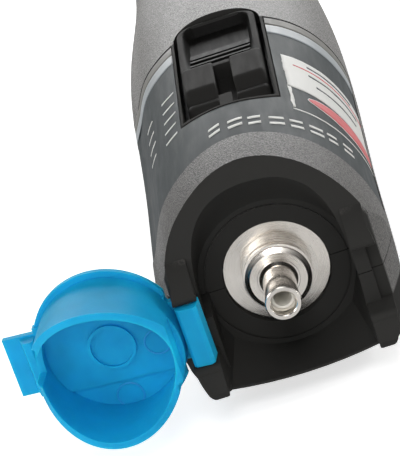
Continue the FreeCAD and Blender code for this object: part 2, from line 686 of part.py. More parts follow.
def port_flange(doc, s):
    """The steel disc with its turned boss, and the spigot that plugs into the housing."""
    d = s.size
    body = new_body(doc, "port_flange")
    boss_side = -d("boss_length") + 0.4
    groove = d("boss_radius") - d("groove_depth")
    revolve(body, [
        (d("nozzle_root_radius"), -d("boss_length")),
        (d("boss_face_radius"), -d("boss_length")),
        (d("boss_radius") - 0.25, boss_side),
        (d("boss_radius") - 0.25, -d("land_end")),
        (groove, -d("land_end")),
        (groove, -d("land_end") + 0.25),
        (d("boss_radius"), -d("land_end") + 0.35),
        (d("boss_radius"), -d("groove_end")),
        (groove, -d("groove_end") + 0.1),
        (groove, -d("groove_start")),
        (d("boss_radius"), -d("groove_start") + 0.1),
        (d("boss_radius"), Size(0, "0")),
        (d("flange_radius") - 0.1, Size(0, "0")),
        (d("flange_radius"), Size(0.1, "0.1")),
        (d("flange_radius"), d("flange_thick")),
        (d("spigot_radius") - d("fit_gap"), d("flange_thick")),
        (d("spigot_radius") - d("fit_gap"), d("spigot_back")),
        (d("nozzle_root_radius"), d("spigot_back")),
        (d("nozzle_root_radius"), d("flange_thick") + 0.5),
        (d("light_hole_radius"), d("flange_thick") + 0.5),
        (d("light_hole_radius"), d("sleeve_back")),
        (d("nozzle_root_radius"), d("sleeve_back")),
    ])
    return body


def port_nozzle(doc, s):
    """The slim tube that guides the ferrule, screwed into the boss."""
    d = s.size
    body = new_body(doc, "port_nozzle")
    bore = d("sleeve_radius") + 0.02
    rim = -d("nozzle_length") + d("nozzle_rim")
    revolve(body, [
        (bore, -d("sleeve_front")),
        (bore, -d("nozzle_length") + d("mouth_depth") + 0.3),
        (d("mouth_radius"), -d("nozzle_length") + 0.1),
        (d("mouth_radius") + 0.1, -d("nozzle_length")),
        (d("nozzle_tip_radius") - 0.12, -d("nozzle_length")),
        (d("nozzle_tip_radius"), -d("nozzle_length") + 0.12),
        (d("nozzle_tip_radius"), rim),
        (d("nozzle_radius"), rim + 0.25),
        (d("nozzle_radius"), -d("boss_length") - 0.5),
        (d("nozzle_radius") + 0.35, -d("boss_length")),
        (d("nozzle_root_radius") - d("fit_gap"), -d("boss_length")),
        (d("nozzle_root_radius") - d("fit_gap"), d("sleeve_back")),
        (bore, d("sleeve_back")),
    ])
    return body


def tube(doc, name, inner, outer, front, back):
    """A plain ring about the port axis."""
    body = new_body(doc, name)
    revolve(body, [(inner, front), (outer, front), (outer, back), (inner, back)])
    return body


def port_nut(doc, s):
    """The ring nut behind the bulkhead, with four spanner slots."""
    d = s.size
    front = d("bulkhead_back")
    back = d("bulkhead_back") + d("nut_thick")
    body = tube(doc, "port_nut", d("housing_radius") + d("fit_gap"), d("nut_radius"), front, back)
    sketch = new_sketch(body, "SlotPlan", "YZ_Plane")
    for low in (d("nut_radius") - 1.2, -d("nut_radius") - 0.3):
        add_outline(sketch, rectangle(back - 0.9, low, back + 0.1, low + 1.5))
    cut = pocket(body, sketch, Size(2.4, "2.4"), "Slots")
    cut.Midplane = True
    body.Tip = cut
    return body


def laser_housing(doc, s):
    """The brass barrel that carries flange, lens and diode in line."""
    d = s.size
    body = new_body(doc, "laser_housing")
    revolve(body, [
        (d("spigot_radius"), d("flange_thick")),
        (d("housing_radius"), d("flange_thick")),
        (d("housing_radius"), d("housing_back")),
        (d("mount_radius") + d("fit_gap"), d("housing_back")),
        (d("mount_radius") + d("fit_gap"), d("diode_seat")),
        (d("lens_radius") + d("fit_gap"), d("diode_seat")),
        (d("lens_radius") + d("fit_gap"), d("aperture_back")),
        (d("aperture_radius"), d("aperture_back")),
        (d("aperture_radius"), d("aperture_front")),
        (d("spigot_radius"), d("aperture_front")),
    ])
    return body


def focus_lens(doc, s):
    """A small plano-convex lens, its dome drawn as three straight facets."""
    d = s.size
    body = new_body(doc, "focus_lens")
    edge = d("aperture_back") + d("lens_edge")
    dome = d("lens_radius") * 0.66
    revolve(body, [
        (0, d("aperture_back")),
        (d("lens_radius"), d("aperture_back")),
        (d("lens_radius"), edge),
        (dome, edge),
        (dome * 0.72, edge + d("lens_bulge") * 0.55),
        (dome * 0.38, edge + d("lens_bulge") * 0.88),
        (0, edge + d("lens_bulge")),
    ])
    return body


def diode_mount(doc, s):
    """The ring that holds the diode's flange against the housing shoulder."""
    d = s.size
    body = new_body(doc, "diode_mount")
    pocket_back = d("diode_seat") + d("can_flange_thick")
    revolve(body, [
        (d("can_flange_radius") + d("fit_gap"), d("diode_seat")),
        (d("mount_radius"), d("diode_seat")),
        (d("mount_radius"), d("mount_back")),
        (d("lead_pitch") + 0.65, d("mount_back")),
        (d("lead_pitch") + 0.65, pocket_back),
        (d("can_flange_radius") + d("fit_gap"), pocket_back),
    ])
    return body


def laser_diode(doc, s):
    """A canned diode: cap in front, wide foot, three leads behind."""
    d = s.size
    body = new_body(doc, "laser_diode")
    foot = d("diode_seat") + d("can_flange_thick")
    can = d("diode_seat") - d("can_length")
    revolve(body, [
        (0, can),
        (d("can_radius") - 0.2, can),
        (d("can_radius"), can + 0.2),
        (d("can_radius"), d("diode_seat")),
        (d("can_flange_radius"), d("diode_seat")),
        (d("can_flange_radius"), foot),
        (0, foot),
    ])
    sketch = new_sketch(body, "LeadPlan", "XZ_Plane", -foot)
    add_circle(sketch, d("lead_pitch"), 0, d("lead_radius"))
    add_circle(sketch, -d("lead_pitch"), 0, d("lead_radius"))
    add_circle(sketch, 0, d("lead_pitch"), d("lead_radius"))
    run = d("housing_back") + d("diode_board_thick") + 0.5 - foot
    body.Tip = pad(body, sketch, run, "Leads", True)
    return body


def lead_holes(doc, s):
    """The board behind the diode, drilled for the three leads."""
    d = s.size
    body = new_body(doc, "diode_board")
    start = d("housing_back")
    half = d("diode_board_width") * 0.5
    sketch = new_sketch(body, "Outline", "XZ_Plane", -start)
    add_outline(sketch, rectangle(-half, -d("diode_board_bottom"), half,
                                  d("board_bottom") + d("board_thick")))
    for x, z in ((d("lead_pitch"), 0), (-d("lead_pitch"), 0), (0, d("lead_pitch"))):
        add_circle(sketch, x, z, d("lead_radius") + 0.07)
    pad(body, sketch, d("diode_board_thick"), "Board", True)
    return body


# ---------------------------------------------------------------- boards and switch

def circuit_board(doc, s):
    d = s.size
    half = d("board_half_width")
    return slab(doc, "circuit_board", rectangle(-half, d("board_front"), half, d("board_back")),
                d("board_bottom"), d("board_thick"))


def board_top(s):
    return s.size("board_bottom") + s.size("board_thick")


def slide_switch(doc, s):
    """The switch case with the slot its lever travels in."""
    d = s.size
    body = new_body(doc, "slide_switch")
    half = d("switch_width") * 0.5
    front = d("switch_front")
    sketch = new_sketch(body, "Case", "XY_Plane", board_top(s))
    add_outline(sketch, rectangle(-half, front, half, front + d("switch_length")))
    pad(body, sketch, d("switch_height"), "CasePad")
    slot = new_sketch(body, "Slot", "XY_Plane", board_top(s) + d("switch_height"))
    side = d("lever_width") * 0.5 + d("lever_play")
    middle = front + d("switch_length") * 0.5
    reach = (d("lever_length") + d("slide_travel")) * 0.5 + d("lever_play")
    add_outline(slot, rectangle(-side, middle - reach, side, middle + reach))
    body.Tip = pocket(body, slot, d("lever_sink") + d("lever_play"), "SlotPocket")
    return body


def switch_lever(doc, s):
    """The switch's own lever: it stands up into the carrier, at the rear of its slot."""
    d = s.size
    side = d("lever_width") * 0.5
    middle = d("switch_front") + d("switch_length") * 0.5
    back = middle + (d("lever_length") + d("slide_travel")) * 0.5
    bottom = board_top(s) + d("switch_height") - d("lever_sink")
    top = d("carrier_top") - d("carrier_thick")
    return slab(doc, "switch_lever", rectangle(-side, back - d("lever_length"), side, back),
                bottom, top - bottom)


def driver_chip(doc, s):
    """A square chip with a chamfered corner and two rows of feet."""
    d = s.size
    body = new_body(doc, "driver_chip")
    half = d("chip_size") * 0.5
    y = d("chip_y")
    sketch = new_sketch(body, "Feet", "XY_Plane", board_top(s))
    for step in (-1.5, -0.5, 0.5, 1.5):
        add_outline(sketch, rectangle(-half - 0.9, y + (step - 0.2), half + 0.9, y + (step + 0.2)))
    pad(body, sketch, Size(0.25, "0.25"), "FeetPad")
    case = new_sketch(body, "Case", "XY_Plane", board_top(s) + 0.05)
    add_outline(case, [(-half + 0.7, y - half), (half, y - half), (half, y + half),
                       (-half, y + half), (-half, y - half + 0.7)])
    body.Tip = pad(body, case, d("chip_height"), "CasePad")
    return body


def power_trimmer(doc, s):
    """The set-screw resistor that trims the laser's current."""
    d = s.size
    body = new_body(doc, "power_trimmer")
    half = d("trimmer_size") * 0.5
    y = d("trimmer_y")
    base = new_sketch(body, "Case", "XY_Plane", board_top(s))
    add_outline(base, rectangle(-half, y - half, half, y + half))
    pad(body, base, d("trimmer_height"), "CasePad")
    top = board_top(s) + d("trimmer_height")
    knob = new_sketch(body, "Knob", "XY_Plane", top)
    add_circle(knob, 0, y, half * 0.75)
    pad(body, knob, Size(0.5, "0.5"), "KnobPad")
    slot = new_sketch(body, "Slot", "XY_Plane", top + 0.5)
    add_outline(slot, rectangle(-half * 0.6, y - 0.25, half * 0.6, y + 0.25))
    body.Tip = pocket(body, slot, Size(0.3, "0.3"), "SlotPocket")
    return body


def board_capacitor(doc, s):
    """An upright can capacitor on its square foot."""
    d = s.size
    body = new_body(doc, "board_capacitor")
    y = d("capacitor_y")
    half = d("capacitor_radius") + 0.15
    foot = new_sketch(body, "Foot", "XY_Plane", board_top(s))
    add_outline(foot, rectangle(-half, y - half, half, y + half))
    pad(body, foot, Size(0.8, "0.8"), "FootPad")
    can = new_sketch(body, "Can", "XY_Plane", board_top(s) + 0.8)
    add_circle(can, 0, y, d("capacitor_radius"))
    body.Tip = pad(body, can, d("capacitor_height") - 0.8, "CanPad")
    return body


# ---------------------------------------------------------------- slide button

def slide_carrier(doc, s):
    """The plate under the shell that carries the button and keeps the opening dark."""
    d = s.size
    half = d("carrier_half_width")
    return slab(doc, "slide_carrier",
                rectangle(-half, d("carrier_front"), half, d("carrier_back")),
                d("carrier_top") - d("carrier_thick"), d("carrier_thick"))


def pad_profile(s):
    """The side view of what is cut away ahead of and above the grip pads.

    From the front it climbs over a round bulge, dips, and climbs again to the pads' flat top.
    """
    def at(y, z):
        return Vector(-20, y, z)

    front = s.button_front
    foot = s.pad_foot - 1.6
    crown = at(front + 2.3, s.pad_bulge)
    shoulder = at(front + 5.0, s.pad_top)
    return Part.Face(Part.Wire([
        Part.makeLine(at(0, foot), at(front, foot)),
        Part.Arc(at(front, foot), at(front + 0.5, s.pad_bulge - 0.8), crown).toShape(),
        Part.Arc(crown, at(front + 3.9, s.pad_bulge + 0.25), shoulder).toShape(),
        Part.makeLine(shoulder, at(s.pad_rear, s.pad_top)),
        Part.makeLine(at(s.pad_rear, s.pad_top), at(s.pad_rear, 30.0)),
        Part.makeLine(at(s.pad_rear, 30.0), at(0, 30.0)),
        Part.makeLine(at(0, 30.0), at(0, foot)),
    ]))


def slide_button(doc, s):
    """The thumb slide: two grip pads in front, three ribs and a dished rear with a rim."""
    half = s.opening_half_width - s.button_gap
    back = s.opening_back - 0.9
    stock = arch(half, s.button_front, s.opening_arch, back, s.carrier_top, 22.0)
    slope = (s.button_rim - s.button_tail_rim) / (back - s.pad_rear)
    tail = back + 5.0
    rear_top = prism_x([(s.pad_rear, s.button_rim),
                        (tail, s.button_rim - slope * (tail - s.pad_rear)),
                        (tail, 30.0), (s.pad_rear, 30.0)], -20, 20)
    notch = block(-s.notch_half_width, s.notch_half_width, 0, s.pad_rear - 1.5,
                  s.notch_floor, 30.0)
    floor = s.button_rim - s.dish_depth
    dish = rod(s.dish_radius, s.pad_rear + 0.4, back, 0.0, floor + s.dish_radius)
    dish = dish.common(arch(half - s.dish_rim, s.pad_rear, s.opening_arch, back - s.dish_rim,
                            floor - 1.0, 22.0))
    pads = pad_profile(s).extrude(Vector(40, 0, 0))
    shape = stock.cut(rear_top.multiFuse([pads, notch, dish]))
    skin = rod(s.dish_radius + 0.1, s.pad_rear, back, 0.0, floor + s.dish_radius)
    skin = skin.cut(rod(s.dish_radius - s.rib_rise, s.pad_rear - 1, back + 1, 0.0,
                        floor + s.dish_radius))
    ribs = []
    for step, width in ((0.0, 1.0), (1.0, 1.1), (2.0, 2.2)):
        y = s.pad_rear + s.rib_start + step * s.rib_pitch
        strip = block(-s.rib_half_length, s.rib_half_length, y, y + s.rib_width * width,
                      floor - 0.2, floor + 2.0)
        ribs.append(skin.common(strip))
    return shaped(doc, "slide_button", shape.multiFuse(ribs))


# ---------------------------------------------------------------- cells and contacts

def cell(doc, s, name, side, toward):
    """One dry cell lying along Y; toward is -1 when its nub points to the nose."""
    d = s.size
    body = new_body(doc, name)
    length = d("cell_length")
    nub = d("cell_nub_length")
    outline = [
        (0, Size(0, "0")),
        (d("cell_nub_radius"), Size(0, "0")),
        (d("cell_nub_radius"), nub),
        (d("cell_radius") - 0.5, nub),
        (d("cell_radius"), nub + 0.5),
        (d("cell_radius"), length - 0.4),
        (d("cell_radius") - 0.6, length),
        (0, length),
    ]
    if toward > 0:
        outline = [(r, length - y) for r, y in outline]
        front = d("bay_back") - d("contact_thick") - length
    else:
        front = d("bay_front") + d("contact_thick")
    revolve(body, outline)
    return place(body, d("cell_spread") * side, front, -d("cell_axis_drop"))


def contact_spring(s, x, y0, y1):
    """A conical coil between two stations, wide end at y0."""
    turns = 1.75
    rise = abs(y1 - y0) - 2 * s.spring_wire
    steps = 14
    points = []
    sign = 1.0 if y1 > y0 else -1.0
    for k in range(steps + 1):
        part = k / steps
        turn = 2 * math.pi * turns * part
        radius = s.spring_radius * (1.25 - 0.45 * part)
        points.append(Vector(x + radius * math.cos(turn), y0 + sign * (s.spring_wire + rise * part),
                             -s.cell_axis_drop + radius * math.sin(turn)))
    curve = Part.BSplineCurve()
    curve.interpolate(Points=points)
    spine = Part.Wire([curve.toShape()])
    start = curve.tangent(curve.FirstParameter)[0]
    section = Part.Wire([Part.makeCircle(s.spring_wire, points[0], start)])
    return spine.makePipeShell([section], True, True)


def contact_plate(s, x0, x1, y0):
    return block(x0, x1, y0, y0 + s.contact_thick, -s.cell_axis_drop - s.contact_half_width,
                 -s.cell_axis_drop + s.contact_half_width)


def front_plate_contact(doc, s):
    left = -s.cell_spread - s.contact_half_width
    plate = contact_plate(s, left, -s.cell_spread + s.contact_half_width, s.bay_front)
    return shaped(doc, "plate_contact", plate)


def front_spring_contact(doc, s):
    x = s.cell_spread
    plate = contact_plate(s, x - s.contact_half_width, x + s.contact_half_width, s.bay_front)
    reach = s.bay_back - s.contact_thick - s.cell_length
    return shaped(doc, "spring_contact",
                  plate.fuse(contact_spring(s, x, s.bay_front + s.contact_thick - 0.05, reach)))


def bridge_contact(doc, s):
    rear = s.bay_back - s.contact_thick
    reach = s.cell_spread + s.contact_half_width
    plate = contact_plate(s, -reach, reach, rear)
    spring = contact_spring(s, -s.cell_spread, rear + 0.05,
                            s.bay_front + s.contact_thick + s.cell_length)
    return shaped(doc, "bridge_contact", plate.fuse(spring))


# ---------------------------------------------------------------- screws and pin

def screw(s, x, y, seat, tip, recess_depth=0.7):
    """A pan-head screw pointing up, with a cross recess in its head."""
    head = post(s.screw_head_radius, seat - s.screw_head_height, seat, x, y)
    rim = [e for e in head.Edges if e.BoundBox.ZMax < seat - s.screw_head_height + 0.01]
    head = head.makeFillet(0.4, rim[:1])
    shank = post(s.screw_radius, seat, tip, x, y)
    low = seat - s.screw_head_height - 0.1
    cross = block(x - 1.2, x + 1.2, y - 0.25, y + 0.25, low, low + recess_depth)
    cross = cross.fuse(block(x - 0.25, x + 0.25, y - 1.2, y + 1.2, low, low + recess_depth))
    return head.fuse(shank).cut(cross)


def case_screws(doc, s):
    screws = [screw(s, x, y, -s.screw_seat, s.screw_top) for x, y in screw_places(s)]
    return shaped(doc, "case_screws", Part.makeCompound(screws))


def door_screw(doc, s):
    seat = -s.underside + 0.9 + s.screw_head_height * 0.0
    return shaped(doc, "door_screw", screw(s, 0.0, s.door_screw_y, seat, seat + 6.0, 0.5))


def hinge_pin(doc, s):
    """The steel pin pressed into both ears."""
    d = s.size
    body = new_body(doc, "hinge_pin")
    sketch = new_sketch(body, "PinSection", "XY_Plane", -d("pin_bottom"))
    add_circle(sketch, 0, 0, d("pin_radius"))
    pad(body, sketch, d("pin_top") + d("pin_bottom"))
    return place(body, -d("hinge_x"), -d("hinge_y"))


# ---------------------------------------------------------------- dust cap

def cap_disc(s):
    """The round lid, trimmed straight near the hinge, with its cross strap."""
    back = -s.cap_outer_face + s.cap_floor
    disc = rod(1.0, 0.0, 1.0)
    matrix = FreeCAD.Matrix()
    matrix.scale(s.cap_radius, s.cap_floor, s.cap_radius + 0.4)
    disc = disc.transformGeometry(matrix)
    disc.translate(Vector(0, -s.cap_outer_face, 0))
    trim = block(-30, -s.hinge_x + s.hinge_relief, -30, 0, -20, 20)
    disc = disc.cut(trim)
    strap = block(-s.hinge_x + s.hinge_relief, s.ear_inner - 1.0, -s.cap_outer_face,
                  back + s.strap_rise, -s.strap_half_height, s.strap_half_height)
    link = block(-s.hinge_x, -s.hinge_x + s.hinge_relief + 0.5, -s.cap_outer_face,
                 back + s.strap_rise, -s.knuckle_half_height, s.knuckle_half_height)
    return disc.multiFuse([strap, link])


def cap_skirt(s):
    """The sealing skirt: a round wall whose free edge is cut by an elliptic cylinder."""
    floor = -s.cap_outer_face + 0.1
    side = -s.cap_outer_face + s.skirt_side_reach
    wall = rod(s.skirt_radius, floor, 0.0).cut(rod(s.skirt_radius - s.skirt_wall, floor - 1, 1.0))
    bow = Part.makeCylinder(1.0, 40.0, Vector(0, 0, -20.0))
    matrix = FreeCAD.Matrix()
    matrix.scale(s.skirt_radius + 0.05, s.skirt_reach - s.skirt_side_reach, 1.0)
    bow = bow.transformGeometry(matrix)
    bow.translate(Vector(0, side, 0))
    keep = bow.fuse(block(-20, 20, floor, side, -20, 20))
    cuts = [
        block(-20, -s.cheek_inner + 0.35, -s.cheek_front - 0.3, 10, -20, 20),
        block(s.skirt_radius - 2.4, 20, side - 1.6, 10, -0.5, s.window_half_height * 2),
        block(-20, -s.hinge_x + s.hinge_relief + 0.4, -20, side - 1.4, -20, 20),
    ]
    return wall.common(keep).cut(cuts[0].multiFuse(cuts[1:2]))


def cap_latch(s):
    """The finger tab with the ridge that snaps behind the catch bar."""
    inner = -s.cap_outer_face + s.cap_floor + s.strap_rise
    tab = block(s.ear_inner - 2.0, s.tab_end, -s.cap_outer_face, inner - 0.35,
                -s.tab_half_height, s.tab_half_height)
    ridge = prism_z([(s.ridge_start, inner - 0.6), (s.ridge_start, inner + s.ridge_rise - 0.4),
                     (s.ridge_start + 0.5, inner + s.ridge_rise),
                     (s.ridge_end - 0.9, inner + s.ridge_rise), (s.ridge_end, inner - 0.6)],
                    -s.tab_half_height + 0.3, s.tab_half_height - 0.3)
    return tab.fuse(ridge)


def cap_knuckle(s):
    """The block round the pin."""
    half = s.knuckle_half_width
    inner = -s.hinge_x + half
    outer = -s.hinge_x - half
    back = -s.hinge_y + s.knuckle_reach
    small = 0.45
    outline = [(inner, -s.cap_outer_face), (outer + s.knuckle_chamfer, -s.cap_outer_face),
               (outer, -s.cap_outer_face + s.knuckle_chamfer), (outer, back - small),
               (outer + small, back), (inner - small, back), (inner, back - small)]
    return prism_z(outline, -s.knuckle_half_height, s.knuckle_half_height)


def dust_cap(doc, s):
    """The hinged cap, shaped in its closed place and swung to its open rest."""
    seal = rod(s.seal_radius, -s.cap_outer_face + 0.1,
               -s.cap_outer_face + s.cap_floor + s.strap_rise + s.seal_rise)
    seal_cut = rod(s.seal_step_radius, -s.cap_outer_face + s.cap_floor + s.strap_rise, 0.0)
    shape = cap_disc(s).multiFuse([cap_skirt(s), cap_latch(s), cap_knuckle(s), seal.cut(seal_cut)])
    bore = pin_bore(s, s.pin_clearance)
    bore.translate(Vector(0, 0, 1.0))
    relief = block(-30, -s.hinge_x + s.ear_relief, -30, 0, -s.ear_relief_height,
                   -s.knuckle_half_height - 0.05)
    shape = shape.cut(bore.multiFuse([pin_bore(s, s.pin_clearance), relief]))
    piece = shaped(doc, "dust_cap", shape)
    swing = Rotation(Vector(0, 0, 1), -s.cap_open_angle)
    piece.Placement = FreeCAD.Placement(Vector(0, 0, 0), swing, Vector(-s.hinge_x, -s.hinge_y, 0))
    return piece


# ---------------------------------------------------------------- assembly and files

def build():
    doc = FreeCAD.newDocument("VisualFaultLocator")
    s = Sheet(doc)
    d = s.size
    outer, hollow, blank = shell_blank(s)
    pieces = [
        upper_shell(doc, s, outer, hollow, blank, label_band(s)),
        lower_shell(doc, s, outer, hollow, blank),
        face_label(doc, s),
        battery_door(doc, s, outer),
        port_flange(doc, s),
        port_nozzle(doc, s),
        tube(doc, "ferrule_sleeve", d("ferrule_radius"), d("sleeve_radius"),
             -d("sleeve_front"), d("sleeve_back")),
        port_nut(doc, s),
        laser_housing(doc, s),
        focus_lens(doc, s),
        tube(doc, "lens_retainer", d("retainer_bore"), d("lens_radius"),
             d("aperture_back") + d("lens_edge"), d("retainer_back")),
        diode_mount(doc, s),
        laser_diode(doc, s),
        lead_holes(doc, s),
        circuit_board(doc, s),
        driver_chip(doc, s),
        power_trimmer(doc, s),
        board_capacitor(doc, s),
        slide_switch(doc, s),
        switch_lever(doc, s),
        slide_carrier(doc, s),
        slide_button(doc, s),
        cell(doc, s, "battery_cell_left", -1, -1),
        cell(doc, s, "battery_cell_right", 1, 1),
        front_plate_contact(doc, s),
        front_spring_contact(doc, s),
        bridge_contact(doc, s),
        door_screw(doc, s),
        case_screws(doc, s),
        dust_cap(doc, s),
        hinge_pin(doc, s),
    ]
    doc.recompute()
    return doc, pieces


def check(doc, pieces):
    for thing in doc.Objects:
        bad = {"Invalid", "Error"} & set(thing.State)
        if bad:
            raise RuntimeError("%s is %s" % (thing.Name, ", ".join(sorted(bad))))
    for piece in pieces:
        shape = piece.Shape
        if shape.isNull() or not shape.isValid() or shape.Volume <= 0:
            raise RuntimeError("%s has no sound solid" % piece.Label)
        print("%-20s %2d solid %9.1f mm3" % (piece.Label, len(shape.Solids), shape.Volume))


def write(pieces):
    os.makedirs("parts", exist_ok=True)
    for piece in pieces:
        piece.Shape.exportStep("parts/%s.step" % piece.Label)


DOC, PIECES = build()
check(DOC, PIECES)
write(PIECES)
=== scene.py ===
"""Looks, light and camera for the visual fault locator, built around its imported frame.

Every length is in metres and every place is in the frame's own axes: -Y out of the port,
+Z towards the slide button, +X towards the dust cap's latch.
"""

import math
from dataclasses import dataclass, field
from enum import Enum

import bpy
import numpy as np
from mathutils import Matrix, Vector


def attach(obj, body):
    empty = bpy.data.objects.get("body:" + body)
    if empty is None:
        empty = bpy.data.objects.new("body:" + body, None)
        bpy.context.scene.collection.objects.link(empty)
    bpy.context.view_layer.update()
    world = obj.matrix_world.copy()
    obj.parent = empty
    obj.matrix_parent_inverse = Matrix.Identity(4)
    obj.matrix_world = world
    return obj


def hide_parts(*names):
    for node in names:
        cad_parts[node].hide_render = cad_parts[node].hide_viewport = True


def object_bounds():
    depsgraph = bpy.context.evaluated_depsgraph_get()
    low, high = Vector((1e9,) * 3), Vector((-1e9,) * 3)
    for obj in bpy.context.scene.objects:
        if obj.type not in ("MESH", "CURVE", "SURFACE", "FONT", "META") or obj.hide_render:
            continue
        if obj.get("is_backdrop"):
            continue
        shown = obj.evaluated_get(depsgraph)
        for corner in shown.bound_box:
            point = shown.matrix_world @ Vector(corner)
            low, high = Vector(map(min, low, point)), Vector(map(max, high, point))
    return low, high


MM = 0.001


def log(text: str) -> None:
    """Print one progress line."""
    print("[scene] " + text, flush=True)


def linear(red: int, green: int, blue: int) -> tuple[float, float, float, float]:
    """Turn an 8-bit display colour into the linear values that shaders take."""
    def channel(value: int) -> float:
        part = value / 255.0
        return part / 12.92 if part <= 0.04045 else ((part + 0.055) / 1.055) ** 2.4
    return (channel(red), channel(green), channel(blue), 1.0)


# ---------------------------------------------------------------- shader graphs

class Graph:
    """A short way to write a node tree: each call adds a node and returns its output."""

    def __init__(self, owner) -> None:
        owner.use_nodes = True
        self.tree = owner.node_tree
        self.tree.nodes.clear()

    def add(self, kind: str, **settings):
        """Add a node and set its plain properties."""
        node = self.tree.nodes.new(kind)
        for name, value in settings.items():
            setattr(node, name, value)
        return node

    def feed(self, socket, value) -> None:
        """Link a socket, or set it where the value is a constant."""
        if isinstance(value, bpy.types.NodeSocket):
            self.tree.links.new(value, socket)
        else:
            socket.default_value = value

    def math(self, operation: str, a, b=0.0):
        """One arithmetic step."""
        node = self.add("ShaderNodeMath", operation=operation)
        for socket, value in zip(node.inputs, (a, b)):
            self.feed(socket, value)
        return node.outputs[0]

    def place(self):
        """The point being shaded, in the object's own axes."""
        return self.add("ShaderNodeTexCoord").outputs["Object"]

    def facing(self):
        """The surface's direction, in the object's own axes."""
        return self.add("ShaderNodeTexCoord").outputs["Normal"]

    def split(self, vector):
        """The three parts of a vector."""
        node = self.add("ShaderNodeSeparateXYZ")
        self.feed(node.inputs[0], vector)
        return node.outputs[0], node.outputs[1], node.outputs[2]

    def join(self, x, y, z):
        """A vector from its three parts."""
        node = self.add("ShaderNodeCombineXYZ")
        for socket, value in zip(node.inputs, (x, y, z)):
            self.feed(socket, value)
        return node.outputs[0]

    def noise(self, vector, per_metre: float, detail: float = 2.0, rough: float = 0.5):
        """Smooth noise from 0 to 1, with its grain size as cells per metre."""
        node = self.add("ShaderNodeTexNoise")
        self.feed(node.inputs["Vector"], vector)
        node.inputs["Scale"].default_value = per_metre
        node.inputs["Detail"].default_value = detail
        node.inputs["Roughness"].default_value = rough
        return node.outputs["Fac"]

    def spread(self, value, low: float, high: float, to_low: float, to_high: float,
               smooth: bool = False):
        """Map one range onto another, clamped."""
        node = self.add("ShaderNodeMapRange", clamp=True)
        if smooth:
            node.interpolation_type = "SMOOTHSTEP"
        for name, number in (("From Min", low), ("From Max", high),
                             ("To Min", to_low), ("To Max", to_high)):
            node.inputs[name].default_value = number
        self.feed(node.inputs["Value"], value)
        return node.outputs["Result"]

    def blend(self, share, first, second):
        """Mix two colours."""
        node = self.add("ShaderNodeMix", data_type="RGBA")
        self.feed(node.inputs[0], share)
        self.feed(node.inputs[6], first)
        self.feed(node.inputs[7], second)
        return node.outputs[2]

    def bump(self, height, distance: float, strength: float = 1.0):
        """Turn a height into a shading normal; distance is the relief in metres."""
        node = self.add("ShaderNodeBump")
        node.inputs["Strength"].default_value = strength
        node.inputs["Distance"].default_value = distance
        self.feed(node.inputs["Height"], height)
        return node.outputs[0]

    def surface(self, **sockets) -> None:
        """Finish with a Principled shader whose sockets are given by name."""
        shader = self.add("ShaderNodeBsdfPrincipled")
        for name, value in sockets.items():
            self.feed(shader.inputs[name.replace("_", " ")], value)
        out = self.add("ShaderNodeOutputMaterial")
        self.tree.links.new(shader.outputs[0], out.inputs[0])


@dataclass(frozen=True)
class Finish:
    """A surface finish that can be made into one procedural material.

    Args:
        name: the material's name.
        colour: linear base colour.
        roughness: the middle of its roughness range.
    """

    name: str
    colour: tuple[float, float, float, float]
    roughness: float = 0.5

    def material(self) -> bpy.types.Material:
        """Build the material, or hand back the one already made."""
        made = bpy.data.materials.get(self.name)
        if made is None:
            made = bpy.data.materials.new(self.name)
            self.draw(Graph(made))
        return made

    def draw(self, g: Graph) -> None:
        """Draw a plain finish with slight mottling; kinds of finish replace this."""
        here = g.place()
        mottle = g.noise(here, 700.0, 3.0)
        share = g.spread(mottle, 0.3, 0.7, 0.0, 1.0)
        dark = tuple(0.86 * c for c in self.colour[:3]) + (1.0,)
        g.surface(Base_Color=g.blend(share, dark, self.colour),
                  Roughness=g.spread(mottle, 0.3, 0.7, self.roughness - 0.05,
                                     self.roughness + 0.05),
                  Normal=g.bump(g.noise(here, 5000.0, 2.0), 0.00001))


